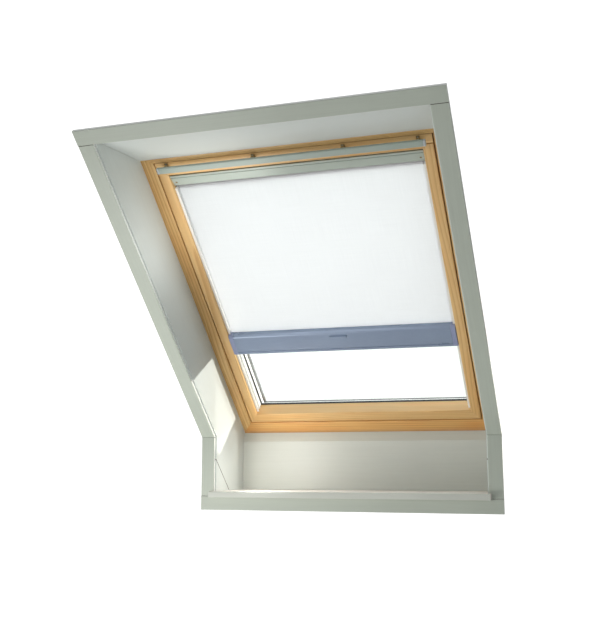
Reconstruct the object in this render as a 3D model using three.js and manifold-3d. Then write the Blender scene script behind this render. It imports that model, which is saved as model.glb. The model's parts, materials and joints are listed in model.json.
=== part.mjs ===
// A centre-pivot roof window with its room lining and a roller blind, closed, at the pitch of its roof.
// Millimetres. +X runs along the window's width, +Y goes from the room into the wall, +Z is up.
// The origin is the centre of the back face of the bottom architrave, which lies on the wall.
import * as THREE from "three";
import { mergeVertices } from "three/addons/utils/BufferGeometryUtils.js";
import Module from "manifold-3d";

const wasm = await Module();
wasm.setup();

// Shared by all pieces
const ROOF_PITCH = THREE.MathUtils.degToRad(42);
const GAP = 0.3; // between pieces that touch
const OVERRUN = 20; // how far a cutter reaches past what it cuts
const FILLET_STEPS = 2;
const ROUND_STEPS = 28;

// The fixed frame, seen from the room: its inner face lies REVEAL_DEPTH behind the architrave's face
const FRAME_WIDTH = 780;
const FRAME_HEIGHT = 980;
const FRAME_DEPTH = 95;
const REVEAL_DEPTH = 163;
const FRAME_FOOT = -165; // along the slope, from the kink where ceiling meets wall
const FRAME_STILE = 45.5;
const FRAME_HEAD = 37.5;
const FRAME_BOTTOM = 55.5;
const FRAME_CHAMFER_WIDTH = 10;
const FRAME_CHAMFER_DEPTH = 3;
const FRAME_EDGE_RADIUS = 2;
const LINING_REBATE = 8;
const FLANGE_REACH = 17.5; // of the flange that backs the lining, out from the frame's sides
const FLANGE_THICKNESS = 6;

// The sash and its glass
const SIDE_RUNNING_GAP = 3;
const HEAD_RUNNING_GAP = 5.5;
const SASH_STILE = 25.5;
const SASH_TOP = 19;
const SASH_BOTTOM = 33.5;
const SASH_BEVEL = 6; // how much the bottom rail's inner face falls towards the glass
const SASH_TOP_TAPER = 3;
const SASH_EDGE_RADIUS = 2.5;
const SASH_LEDGE = 48; // from the sash's face to the ledge under the glass
const SASH_DEPTH = 76;
const GLASS_COVER = 12; // how far the rebate reaches past the sight line
const GASKET_THICKNESS = 3;
const GASKET_LIP = 1.2; // how far it stands past the wood's edge
const PANE_THICKNESS = 4;
const SPACER_DEPTH = 15.4;
const SPACER_WIDTH = 8;
const PIVOT_DEPTH = 20; // from the sash's face to the pivot's axis
const CLADDING_HEIGHT = 7;
const CLADDING_WALL = 1.5;
const CLADDING_LAP = 4;
const CLADDING_FOOT = 9.5; // how far the lower cladding reaches up the glass from the sash's foot

// Room lining
const LINING_THICKNESS = 12;
const LINING_COVER = 13; // how much of the frame's inner face the lining hides
const SOFFIT_RISE = 17;
const SIDE_BOARD_DROP = 40; // the side board's room edge lies this far below the ceiling's line
const SIDE_BOARD_OVERHANG = 6; // behind the bottom lining
const BOTTOM_LINING_STEP = 11;
const BOTTOM_LINING_BEVEL = 27;
const SILL_DROP = 148; // from the kink down to the sill's top
const SILL_THICKNESS = 13.7;
const NOSING_REACH = 22;
const NOSING_LIP = 3.3;
const NOSING_HORN = 7;
const NOSING_RADIUS = 5;

// Architrave
const ARCHITRAVE_WIDTH = 38;
const ARCHITRAVE_THICKNESS = 8;
const ARCHITRAVE_RADIUS = 1.5;
const ARCHITRAVE_MARGIN = 3; // of the side board's edge left showing
const ARCHITRAVE_HEAD_LAP = 7; // over the head lining's edge

// Ventilation flap and control bar
const FLAP_HEIGHT = 25.5;
const FLAP_THICKNESS = 17.5;
const FLAP_BEVEL = 8.8; // its top edge falls this much towards its back, to turn clear of the head
const FLAP_TURNING_GAP = 1.2; // behind it
const HEAD_BEVEL = 7;
const FLAP_ROD_RADIUS = 2;
const FLAP_ROD_INSET = 4;
const FLAP_LUG_WIDTH = 14;
const FLAP_LUG_PLACE_SHARES = [-0.64, 0, 0.64]; // of half the flap's length
const BAR_HEIGHT = 14;
const BAR_DEPTH = 9;
const BAR_WALL = 1.4;
const BAR_STANDOFF = 16;
const BAR_SET_BACK = 12.2; // of its ends from the sash's edges
const BAR_LIFT = 8.2; // of its lower edge above the flap's lower edge
const BAR_RADIUS = 3;
const BAR_CAP = 6;
const BRACKET_WIDTH = 8;
const BRACKET_HEIGHT = 11;
const BRACKET_FOOT = 3;
const BRACKET_ARM = 8;
const BRACKET_PLACE_SHARES = [-0.96, -0.263, 0.42, 0.96]; // of half the bar's length

// Lock between the flap and the head
const LOCK_HALF_WIDTH = 40;
const LOCK_HEIGHT = 13;
const LOCK_DEPTH = 15;
const LOCK_INSET = 28; // from the sash's face
const BOLT_WIDTH = 18;
const BOLT_DEPTH = 6;
const BOLT_REACH = 4.6;
const BOLT_LENGTH = 12;
const BOLT_TRAVEL = 4;
const STRIKER_THICKNESS = 1.5;
const STRIKER_HALF_WIDTH = 32;

// Pivot hinges
const PIVOT_PLATE_LENGTH = 130;
const PIVOT_PLATE_WIDTH = 26;
const PIVOT_PLATE_THICKNESS = 2.2;
const PIVOT_PIN_RADIUS = 6;
const PIVOT_PIN_LENGTH = 14;

// Metal covers outside the frame
const COVER_WALL = 1.5;
const COVER_SKIRT = 45;
const HOOD_HEIGHT = 16;
const COVER_SET_BACK = 4;

// Roller blind
const CASSETTE_DROP = 11.6; // below the sash's top rail
const CASSETTE_SET_BACK = 5; // behind the sash's face
const CASSETTE_HEIGHT = 30.8;
const CASSETTE_DEPTH = 39;
const CASSETTE_WALL = 1.3;
const CASSETTE_LIP = 24.8; // height of the front wall
const CASSETTE_SLANT = 8; // how far the front wall leans back at its lip
const CASSETTE_SLOT = 6;
const CASSETTE_CAP = 2.4;
const CASSETTE_GROOVE = 1.2;
const TUBE_RADIUS = 9;
const TUBE_WALL = 1;
const FABRIC_ROLL_RADIUS = 11.2;
const ROLLER_BACK = 23; // of its axis behind the cassette's front top edge
const ROLLER_BELOW = 15.4;
const ROLLER_BOSS = 12;
const FABRIC_THICKNESS = 0.6;
const FABRIC_INSET = 4.5; // of its side edges from the sash's sight line
const CHANNEL_WIDTH = 6;
const CHANNEL_DEPTH = 16;
const CHANNEL_WALL = 1.2;
const CHANNEL_FOOT = 3;
const BLIND_BAR_FOOT = 238; // at rest, above the sash's lower sight line
const BLIND_BAR_HEIGHT = 68.5;
const BLIND_BAR_DEPTH = 27;
const BLIND_BAR_PROUD = 2;
const BLIND_BAR_WALL = 1.6;
const BLIND_BAR_CAP = 14;
const BLIND_BAR_SHOULDER = 9;
const BLIND_BAR_LIP = 8;
const BLIND_BAR_GROOVE = 1.6;
const GRIP_HALF_WIDTH = 24;
const GRIP_REACH = 5;
const GRIP_THICKNESS = 4;
const GRIP_DROP = 15; // below the bar's top
const TONGUE_THICKNESS = 6;

// Places that follow from the sizes, first along the slope, upwards from the kink
const frameTop = FRAME_FOOT + FRAME_HEIGHT;
const frameHalf = FRAME_WIDTH / 2;
const frameInner = frameHalf - FRAME_STILE;
const frameSide = frameHalf - FLANGE_REACH;
const headInner = frameTop - FRAME_HEAD;
const footInner = FRAME_FOOT + FRAME_BOTTOM;
const sashHalf = frameInner - SIDE_RUNNING_GAP;
const sashInner = sashHalf - SASH_STILE;
const sashTop = headInner - HEAD_RUNNING_GAP;
const sashFoot = footInner + SIDE_RUNNING_GAP;
const sightTop = sashTop - SASH_TOP;
const sightFoot = sashFoot + SASH_BOTTOM;
const pivotAlong = (frameTop + FRAME_FOOT) / 2;

// Then outwards, square to the slope, from the architrave's face
const sashFace = REVEAL_DEPTH;
const flangeBack = REVEAL_DEPTH + LINING_REBATE + FLANGE_THICKNESS;
const frameBack = REVEAL_DEPTH + FRAME_DEPTH;
const ledge = sashFace + SASH_LEDGE;
const sashBack = sashFace + SASH_DEPTH;
const pivotOut = sashFace + PIVOT_DEPTH;

// Lining and architrave
const liningHalf = frameHalf - LINING_COVER;
const architraveHalf = liningHalf + ARCHITRAVE_MARGIN + ARCHITRAVE_WIDTH;
const legInner = architraveHalf - ARCHITRAVE_WIDTH;
const sillTop = -SILL_DROP;
const bottomRailTop = sillTop - SILL_THICKNESS - GAP;
const bottomRailMiddle = bottomRailTop - ARCHITRAVE_WIDTH / 2;

// A closed outline through corners [x, y, fillet radius]; a corner with no radius stays sharp.
function outline(corners) {
  const shape = new THREE.Shape();
  const corner = (i) => {
    const [x, y] = corners[(i + corners.length) % corners.length];
    return new THREE.Vector2(x, y);
  };
  corners.forEach(([x, y, radius], i) => {
    const here = corner(i);
    if (!radius) {
      if (i === 0) shape.moveTo(x, y);
      else shape.lineTo(x, y);
      return;
    }
    const back = corner(i - 1).sub(here).normalize();
    const ahead = corner(i + 1).sub(here).normalize();
    const half = Math.acos(THREE.MathUtils.clamp(back.dot(ahead), -1, 1)) / 2;
    const middle = back.clone().add(ahead).normalize();
    const centre = here.clone().addScaledVector(middle, radius / Math.sin(half));
    const from = here.clone().addScaledVector(back, radius / Math.tan(half)).sub(centre);
    const to = here.clone().addScaledVector(ahead, radius / Math.tan(half)).sub(centre);
    const start = from.angle();
    if (i > 0) shape.lineTo(centre.x + radius * Math.cos(start), centre.y + radius * Math.sin(start));
    shape.absarc(centre.x, centre.y, radius, start, to.angle(), back.cross(ahead) > 0);
  });
  return shape;
}

// Extrusions along the three directions of a group. Each takes an outline (or a Shape) and where it
// runs from and to. Along X the outline holds [y, z], along Z it holds [x, y], along Y it holds [x, z].
function extruded(corners, length, basis, offset) {
  const shape = Array.isArray(corners) ? outline(corners) : corners;
  const geometry = new THREE.ExtrudeGeometry(shape, {
    depth: length,
    bevelEnabled: false,
    curveSegments: FILLET_STEPS,
  });
  return geometry.applyMatrix4(basis).translate(...offset);
}

const X = new THREE.Vector3(1, 0, 0);
const Y = new THREE.Vector3(0, 1, 0);
const Z = new THREE.Vector3(0, 0, 1);
const alongXBasis = new THREE.Matrix4().makeBasis(Y, Z, X);
const alongYBasis = new THREE.Matrix4().makeBasis(X, Z, Y.clone().negate());
const alongX = (corners, from, to) => extruded(corners, to - from, alongXBasis, [from, 0, 0]);
const alongY = (corners, from, to) => extruded(corners, to - from, alongYBasis, [0, to, 0]);
const alongZ = (corners, from, to) => extruded(corners, to - from, new THREE.Matrix4(), [0, 0, from]);

// A rectangle as corners, for outlines: low x, low y, high x, high y and a fillet radius.
const rectangle = (x0, y0, x1, y1, radius) => [
  [x0, y0, radius],
  [x1, y0, radius],
  [x1, y1, radius],
  [x0, y1, radius],
];

// The same corners seen in a mirror across X = 0, turned round so that the outline keeps its sense.
const mirrored = (corners) => corners.map(([x, ...rest]) => [-x, ...rest]).reverse();

// A rod along X round the point [y, z].
function rodAlongX(radius, y, z, from, to) {
  const rod = new THREE.CylinderGeometry(radius, radius, to - from, ROUND_STEPS);
  return rod.rotateZ(-Math.PI / 2).translate((from + to) / 2, y, z);
}

// Solids: a geometry as a closed body, what is left of it after cuts, and several joined into one.
function solid(geometry) {
  const bare = geometry.index ? geometry.toNonIndexed() : geometry.clone();
  bare.deleteAttribute("normal");
  bare.deleteAttribute("uv");
  const merged = mergeVertices(bare);
  return new wasm.Manifold(
    new wasm.Mesh({
      numProp: 3,
      vertProperties: merged.attributes.position.array,
      triVerts: new Uint32Array(merged.index.array),
    }),
  );
}

function surface(body) {
  const { vertProperties, triVerts } = body.getMesh();
  const geometry = new THREE.BufferGeometry();
  geometry.setAttribute("position", new THREE.BufferAttribute(vertProperties, 3));
  geometry.setIndex(new THREE.BufferAttribute(triVerts, 1));
  const flat = geometry.toNonIndexed();
  flat.computeVertexNormals();
  return flat;
}

const cut = (geometry, ...tools) =>
  surface(tools.reduce((left, tool) => left.subtract(solid(tool)), solid(geometry)));
const common = (geometry, tool) => surface(solid(geometry).intersect(solid(tool)));
const joined = (geometry, ...others) =>
  surface(others.reduce((sum, other) => sum.add(solid(other)), solid(geometry)));

// Materials
const finish = (color, roughness, metalness = 0, opacity = 1) =>
  new THREE.MeshStandardMaterial({ color, roughness, metalness, opacity, transparent: opacity < 1 });
const sagePaint = finish(0xb9c2b6, 0.55);
const pine = finish(0xcf9a58, 0.4);
const steel = finish(0x9a9c9e, 0.35, 0.9);
const greyMetal = finish(0x5b6064, 0.45, 0.6);
const silver = finish(0xb4bcbf, 0.35, 0.7);
const rubber = finish(0x2c2e2c, 0.8);
const glass = finish(0xe8f2ee, 0.05, 0, 0.35);
const cassetteGrey = finish(0xb6c0b6, 0.5, 0.2);
const channelWhite = finish(0xf0f0ea, 0.45);
const fabricWhite = finish(0xf0f3f5, 0.9);
const barBlue = finish(0x76849a, 0.45, 0.2);
const capBlue = finish(0x7b7f9e, 0.5);
const darkPlastic = finish(0x4a4038, 0.5);

const part = new THREE.Group();
part.name = "roof_window_with_blind";

// The room group has its origin on the kink line of the architrave's face, the slope group is tilted
// there: in it +Y points square out through the roof and +Z up along the slope.
const room = new THREE.Group();
room.position.set(0, -ARCHITRAVE_THICKNESS, -bottomRailMiddle);
const slope = new THREE.Group();
slope.rotation.x = Math.PI / 2 - ROOF_PITCH;
room.add(slope);
part.add(room);

function place(group, name, geometry, material) {
  const mesh = new THREE.Mesh(geometry, material);
  mesh.name = name;
  group.add(mesh);
  return mesh;
}

// Points of the room group on lines of the slope: [y, z] at a distance along the slope and out from it.
const sin = Math.sin(ROOF_PITCH);
const cos = Math.cos(ROOF_PITCH);
const inRoom = (along, out) => [out * sin - along * cos, along * sin + out * cos];
const alongOf = (y, z) => z * sin - y * cos;
// The height at which a plane parallel to the slope stands above y, and the y at which it has a height.
const heightOnPlane = (out, y) => (out - y * sin) / cos;
const depthOnPlane = (out, z) => (out - z * cos) / sin;

// Architrave: a flat moulding with eased front edges.
function architraveSection(inner, outer, flip) {
  const corners = [
    [inner, 0, ARCHITRAVE_RADIUS],
    [outer, 0, ARCHITRAVE_RADIUS],
    [outer, ARCHITRAVE_THICKNESS],
    [inner, ARCHITRAVE_THICKNESS],
  ];
  return flip ? mirrored(corners) : corners;
}

// The head lining's lower face runs from the frame's head down to the ceiling's edge by SOFFIT_RISE.
const soffitBack = inRoom(frameTop - LINING_COVER, REVEAL_DEPTH - GAP);
const soffitFrontHeight = soffitBack[1] - SOFFIT_RISE;
const ceilingOut = ARCHITRAVE_THICKNESS + GAP;
const soffitFront = [depthOnPlane(ceilingOut, soffitFrontHeight), soffitFrontHeight];
const topRailFoot = alongOf(...soffitFront) - ARCHITRAVE_HEAD_LAP;
const topRailTop = topRailFoot + ARCHITRAVE_WIDTH;

// Where slope and wall legs meet, they are mitred on the plane through the front and back kink lines.
const kinkBack = [ARCHITRAVE_THICKNESS, heightOnPlane(ARCHITRAVE_THICKNESS, ARCHITRAVE_THICKNESS)];
const kinkAngle = Math.atan2(kinkBack[1], kinkBack[0]);

function aboveKink(lift) {
  const reach = architraveHalf + OVERRUN;
  const far = topRailTop + OVERRUN;
  const side = [Math.cos(kinkAngle), Math.sin(kinkAngle)];
  const corners = [
    [-far * side[0], lift - far * side[1]],
    [far * side[0], lift + far * side[1]],
    [far * side[0], lift + far * side[1] + far],
    [-far * side[0], lift - far * side[1] + far],
  ];
  return alongX(corners, -reach, reach);
}

function belowKink(lift) {
  const reach = architraveHalf + OVERRUN;
  const far = topRailTop + OVERRUN;
  const side = [Math.cos(kinkAngle), Math.sin(kinkAngle)];
  const corners = [
    [-far * side[0], lift - far * side[1] - far],
    [far * side[0], lift + far * side[1] - far],
    [far * side[0], lift + far * side[1]],
    [-far * side[0], lift - far * side[1]],
  ];
  return alongX(corners, -reach, reach);
}

const tilt = new THREE.Matrix4().makeRotationX(Math.PI / 2 - ROOF_PITCH);

function addArchitrave() {
  const railSection = (foot, top) =>
    architraveSection(foot, top).map(([height, depth, radius]) => [depth, height, radius]).reverse();
  const topRail = alongX(railSection(topRailFoot, topRailTop), -architraveHalf, architraveHalf);
  place(slope, "architrave_top", topRail, sagePaint);
  for (const [side, flip] of [["left", true], ["right", false]]) {
    const section = architraveSection(legInner, architraveHalf, flip);
    const slopeLeg = alongZ(section, -OVERRUN, topRailFoot - GAP).applyMatrix4(tilt);
    place(room, `architrave_${side}_slope`, cut(slopeLeg, belowKink(GAP / 2)), sagePaint);
    const wallLeg = alongZ(section, bottomRailTop + GAP, OVERRUN);
    place(room, `architrave_${side}_wall`, cut(wallLeg, aboveKink(-GAP / 2)), sagePaint);
  }
  const bottomRail = alongX(
    railSection(bottomRailTop - ARCHITRAVE_WIDTH, bottomRailTop),
    -architraveHalf,
    architraveHalf,
  );
  place(room, "architrave_bottom", bottomRail, sagePaint);
}

// Lining boards
function addLining() {
  const backOut = REVEAL_DEPTH - GAP;
  const rebateOut = REVEAL_DEPTH + LINING_REBATE - GAP;
  const rise = Math.atan2(soffitBack[1] - soffitFront[1], soffitBack[0] - soffitFront[0]);
  const lift = LINING_THICKNESS / Math.cos(rise);
  const onSoffit = (out, raise) => {
    // the point of the line parallel to the lower face and raised above it, on the plane that far out
    const slopeOfLine = Math.tan(rise);
    const base = soffitFront[1] + raise - slopeOfLine * soffitFront[0];
    const y = (out - base * cos) / (sin + slopeOfLine * cos);
    return [y, base + slopeOfLine * y];
  };
  const headBoard = [
    onSoffit(ceilingOut, 0),
    onSoffit(backOut, 0),
    onSoffit(backOut, lift),
    onSoffit(ceilingOut, lift),
  ];
  place(room, "head_lining", alongX(headBoard, GAP - liningHalf, liningHalf - GAP), sagePaint);

  const frameEdge = inRoom(FRAME_FOOT + LINING_COVER, backOut);
  const face = frameEdge[0] - BOTTOM_LINING_STEP;
  const back = face + LINING_THICKNESS;
  const boardEnd = back + SIDE_BOARD_OVERHANG;
  const wallBack = ARCHITRAVE_THICKNESS + GAP;
  const boardFoot = -SIDE_BOARD_DROP;
  const fillerTop = boardFoot - GAP;
  const footHeight = bottomRailTop + GAP;
  const sideBoard = [
    onSoffit(ceilingOut, lift),
    [wallBack, heightOnPlane(ceilingOut, wallBack)],
    [wallBack, heightOnPlane(boardFoot, wallBack)],
    [depthOnPlane(boardFoot, footHeight), footHeight],
    [boardEnd, footHeight],
    [boardEnd, heightOnPlane(rebateOut, boardEnd)],
    onSoffit(rebateOut, lift),
  ];
  const filler = [
    [wallBack, heightOnPlane(fillerTop, wallBack)],
    [wallBack, footHeight],
    [depthOnPlane(fillerTop, footHeight), footHeight],
  ];
  for (const [side, from, to] of [
    ["left", -liningHalf - LINING_THICKNESS, -liningHalf],
    ["right", liningHalf, liningHalf + LINING_THICKNESS],
  ]) {
    place(room, `${side}_side_lining`, alongX(sideBoard, from, to), sagePaint);
    place(room, `${side}_corner_filler`, alongX(filler, from, to), sagePaint);
  }

  const bottomBoard = [
    [face, sillTop + GAP],
    [back, sillTop + GAP],
    [back, heightOnPlane(backOut, back)],
    frameEdge,
    [face, frameEdge[1] - BOTTOM_LINING_BEVEL],
  ];
  place(room, "bottom_lining", alongX(bottomBoard, GAP - liningHalf, liningHalf - GAP), sagePaint);

  const sillFoot = sillTop - SILL_THICKNESS;
  const boardSection = [
    [-GAP - NOSING_RADIUS, sillTop],
    [-GAP - NOSING_RADIUS, sillFoot],
    [back, sillFoot],
    [back, sillTop],
  ];
  const nosingSection = [
    [-NOSING_REACH, sillTop, NOSING_RADIUS],
    [-NOSING_REACH, sillFoot - NOSING_LIP, ARCHITRAVE_RADIUS],
    [-GAP, sillFoot - NOSING_LIP],
    [-GAP, sillTop],
  ];
  const board = alongX(boardSection, GAP - liningHalf, liningHalf - GAP);
  const nosing = alongX(nosingSection, -legInner - NOSING_HORN, legInner + NOSING_HORN);
  place(room, "sill_board", joined(board, nosing), sagePaint);
}

// Frame. Its corners are mitred, so each stile keeps the part of its length inside this footprint, seen
// square to the slope, and the rails give way to it.
function stilePrint(outer, inner, footOuter, footInnerCorner, topInnerCorner, topOuter, grow) {
  return [
    [outer, footOuter - grow],
    [inner - grow, footInnerCorner - grow],
    [inner - grow, topInnerCorner + grow],
    [outer, topOuter + grow],
  ];
}

const flapTop = headInner + FLAP_HEIGHT / 2;
const flapFoot = flapTop - FLAP_HEIGHT;
const headLip = flapTop + 2 * GAP;
const flapBack = sashFace + GAP + FLAP_THICKNESS;
const flapWell = flapBack + FLAP_TURNING_GAP;

function framePrint(grow, side) {
  const corners = stilePrint(frameHalf, frameInner, FRAME_FOOT, footInner, headLip, frameTop, grow);
  return side === "left" ? mirrored(corners) : corners;
}

function frameStile(side) {
  const outer = frameHalf;
  const rebate = frameHalf - LINING_COVER;
  const section = [
    [outer, REVEAL_DEPTH + LINING_REBATE],
    [outer, flangeBack],
    [frameSide, flangeBack],
    [frameSide, frameBack],
    [frameInner, frameBack, FRAME_EDGE_RADIUS],
    [frameInner, REVEAL_DEPTH, FRAME_EDGE_RADIUS],
    [rebate - FRAME_CHAMFER_WIDTH, REVEAL_DEPTH],
    [rebate, REVEAL_DEPTH + FRAME_CHAMFER_DEPTH],
    [rebate, REVEAL_DEPTH + LINING_REBATE],
  ].reverse();
  const length = alongZ(side === "left" ? mirrored(section) : section, FRAME_FOOT, frameTop);
  const print = alongY(framePrint(0, side), REVEAL_DEPTH - OVERRUN, frameBack + OVERRUN);
  return common(length, print);
}

// The rebate round the frame's edge that the side boards sit in, as it crosses the rails' ends.
function rebatePrint(side) {
  const corners = rectangle(
    frameHalf - LINING_COVER,
    REVEAL_DEPTH - OVERRUN,
    frameHalf + OVERRUN,
    REVEAL_DEPTH + LINING_REBATE,
  );
  return alongZ(side === "left" ? mirrored(corners) : corners, FRAME_FOOT - OVERRUN, frameTop + OVERRUN);
}

// What is taken off the frame's outer sides behind the flange, with the shallow rebate that the side
// covers' skirts lie in, flush with the wood.
function flankPrint(side) {
  const corners = [
    [frameSide, flangeBack],
    [frameHalf + OVERRUN, flangeBack],
    [frameHalf + OVERRUN, frameBack + OVERRUN],
    [frameSide - COVER_WALL - GAP, frameBack + OVERRUN],
    [frameSide - COVER_WALL - GAP, frameBack - COVER_SKIRT - GAP],
    [frameSide, frameBack - COVER_SKIRT - GAP],
  ];
  return alongZ(side === "left" ? mirrored(corners) : corners, FRAME_FOOT - OVERRUN, frameTop + OVERRUN);
}

// A recess and bore for the pivot hinge, cut into a stile: an oval plate shape and a round hole.
const platePrint = (grow) =>
  rectangle(
    pivotOut - PIVOT_PLATE_WIDTH / 2 - grow,
    pivotAlong - PIVOT_PLATE_LENGTH / 2 - grow,
    pivotOut + PIVOT_PLATE_WIDTH / 2 + grow,
    pivotAlong + PIVOT_PLATE_LENGTH / 2 + grow,
    PIVOT_PLATE_WIDTH / 2 + grow - GAP,
  );

const pinReach = sashHalf - PIVOT_PLATE_THICKNESS + PIVOT_PIN_LENGTH;

const onSide = (side, corners, from, to) =>
  side === "left" ? alongX(corners, -to, -from) : alongX(corners, from, to);
const rodOnSide = (side, radius, from, to) =>
  side === "left"
    ? rodAlongX(radius, pivotOut, pivotAlong, -to, -from)
    : rodAlongX(radius, pivotOut, pivotAlong, from, to);

function addFrame() {
  for (const side of ["left", "right"]) {
    const recessTo = frameInner + PIVOT_PLATE_THICKNESS + GAP;
    const recess = onSide(side, platePrint(GAP), frameInner - OVERRUN, recessTo);
    const bore = rodOnSide(side, PIVOT_PIN_RADIUS + 2 * GAP, frameInner - OVERRUN, pinReach + 2 * GAP);
    place(slope, `frame_${side}_stile`, cut(frameStile(side), flankPrint(side), recess, bore), pine);
    const plate = onSide(side, platePrint(0), frameInner, frameInner + PIVOT_PLATE_THICKNESS);
    const eye = rodOnSide(side, PIVOT_PIN_RADIUS + GAP, frameInner - OVERRUN, frameInner + OVERRUN);
    place(slope, `${side}_pivot_plate`, cut(plate, eye), steel);
  }
  const prints = ["left", "right"].flatMap((side) => [
    alongY(framePrint(GAP, side), REVEAL_DEPTH - OVERRUN, frameBack + OVERRUN),
    rebatePrint(side),
    flankPrint(side),
  ]);
  const headSection = [
    [REVEAL_DEPTH, headLip, FRAME_EDGE_RADIUS / 2],
    [flapWell, headLip - HEAD_BEVEL],
    [flapWell, headInner],
    [frameBack, headInner, FRAME_EDGE_RADIUS],
    [frameBack, frameTop],
    [REVEAL_DEPTH, frameTop],
  ];
  const head = alongX(headSection, -frameHalf, frameHalf);
  const strikerPocket = alongX(
    rectangle(
      sashFace + LOCK_INSET - GAP,
      headInner - OVERRUN,
      sashFace + LOCK_INSET + LOCK_DEPTH + GAP,
      headInner + STRIKER_THICKNESS + GAP,
    ),
    -STRIKER_HALF_WIDTH - GAP,
    STRIKER_HALF_WIDTH + GAP,
  );
  place(slope, "frame_head", cut(head, ...prints, strikerPocket), pine);
  const striker = alongX(
    rectangle(
      sashFace + LOCK_INSET,
      headInner,
      sashFace + LOCK_INSET + LOCK_DEPTH,
      headInner + STRIKER_THICKNESS,
    ),
    -STRIKER_HALF_WIDTH,
    STRIKER_HALF_WIDTH,
  );
  const slot = alongX(
    rectangle(
      sashFace + LOCK_INSET + (LOCK_DEPTH - BOLT_DEPTH) / 2 - GAP,
      headInner - OVERRUN,
      sashFace + LOCK_INSET + (LOCK_DEPTH + BOLT_DEPTH) / 2 + GAP,
      headInner + OVERRUN,
    ),
    -BOLT_WIDTH / 2 - GAP,
    BOLT_WIDTH / 2 + GAP,
  );
  place(slope, "striker_plate", cut(striker, slot), steel);

  const footSection = [
    [REVEAL_DEPTH + FRAME_CHAMFER_DEPTH, FRAME_FOOT],
    [frameBack, FRAME_FOOT],
    [frameBack, footInner, FRAME_EDGE_RADIUS],
    [REVEAL_DEPTH, footInner, FRAME_EDGE_RADIUS],
    [REVEAL_DEPTH, FRAME_FOOT + LINING_COVER + FRAME_CHAMFER_WIDTH],
    [REVEAL_DEPTH + FRAME_CHAMFER_DEPTH, FRAME_FOOT + LINING_COVER],
  ];
  place(slope, "frame_bottom_rail", cut(alongX(footSection, -frameHalf, frameHalf), ...prints), pine);
}

// Covers outside the frame: folded sheet over its back and down its outer sides. The hood over the head
// is a box without a floor at the head of the side covers, and the bottom cover closes the foot.
function addCovers() {
  const near = frameBack + GAP;
  const top = near + COVER_WALL;
  const skirt = frameBack - COVER_SKIRT;
  const outside = frameSide - COVER_WALL;
  const innerEdge = frameInner + COVER_SET_BACK;
  const hoodEdge = headInner + COVER_SET_BACK;
  const sideSection = [
    [innerEdge, near],
    [outside, near],
    [outside, skirt],
    [outside + COVER_WALL, skirt],
    [outside + COVER_WALL, top, COVER_WALL],
    [innerEdge, top],
  ];
  for (const side of ["left", "right"]) {
    const corners = side === "left" ? mirrored(sideSection) : sideSection;
    place(slope, `frame_${side}_cover`, alongZ(corners, FRAME_FOOT, hoodEdge - GAP), greyMetal);
  }
  const low = FRAME_FOOT - GAP;
  const sheet = rectangle(near, low - COVER_WALL, top, footInner - COVER_SET_BACK);
  const apron = rectangle(skirt, low - COVER_WALL, top, low);
  const bottomCover = joined(
    alongX(sheet, GAP - innerEdge, innerEdge - GAP),
    alongX(apron, -outside - COVER_WALL, outside + COVER_WALL),
  );
  place(slope, "frame_bottom_cover", bottomCover, greyMetal);

  const hoodTop = frameBack + HOOD_HEIGHT;
  const high = frameTop + GAP;
  const hoodSection = [
    [skirt, hoodEdge],
    [hoodTop, hoodEdge, COVER_SET_BACK],
    [hoodTop, high + COVER_WALL, COVER_SET_BACK],
    [skirt, high + COVER_WALL],
  ];
  const hood = alongX(hoodSection, -outside - COVER_WALL, outside + COVER_WALL);
  const hollow = rectangle(skirt - OVERRUN, hoodEdge + COVER_WALL, hoodTop - COVER_WALL, high);
  const seat = rectangle(skirt - OVERRUN, hoodEdge - OVERRUN, near, high);
  const inside = [hollow, seat].map((corners) => alongX(corners, -outside, outside));
  place(slope, "frame_head_cover", cut(hood, ...inside), greyMetal);
}

// Sash
function sashPrint(grow, side) {
  const corners = stilePrint(sashHalf, sashInner, sashFoot, sightFoot, sightTop, sashTop, grow);
  return side === "left" ? mirrored(corners) : corners;
}

// The space that the flap turns in, taken out of the sash's upper front corner.
const flapSpace = () =>
  alongX(
    rectangle(sashFace - OVERRUN, flapFoot - GAP, flapWell, frameTop + OVERRUN),
    -frameHalf,
    frameHalf,
  );

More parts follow.
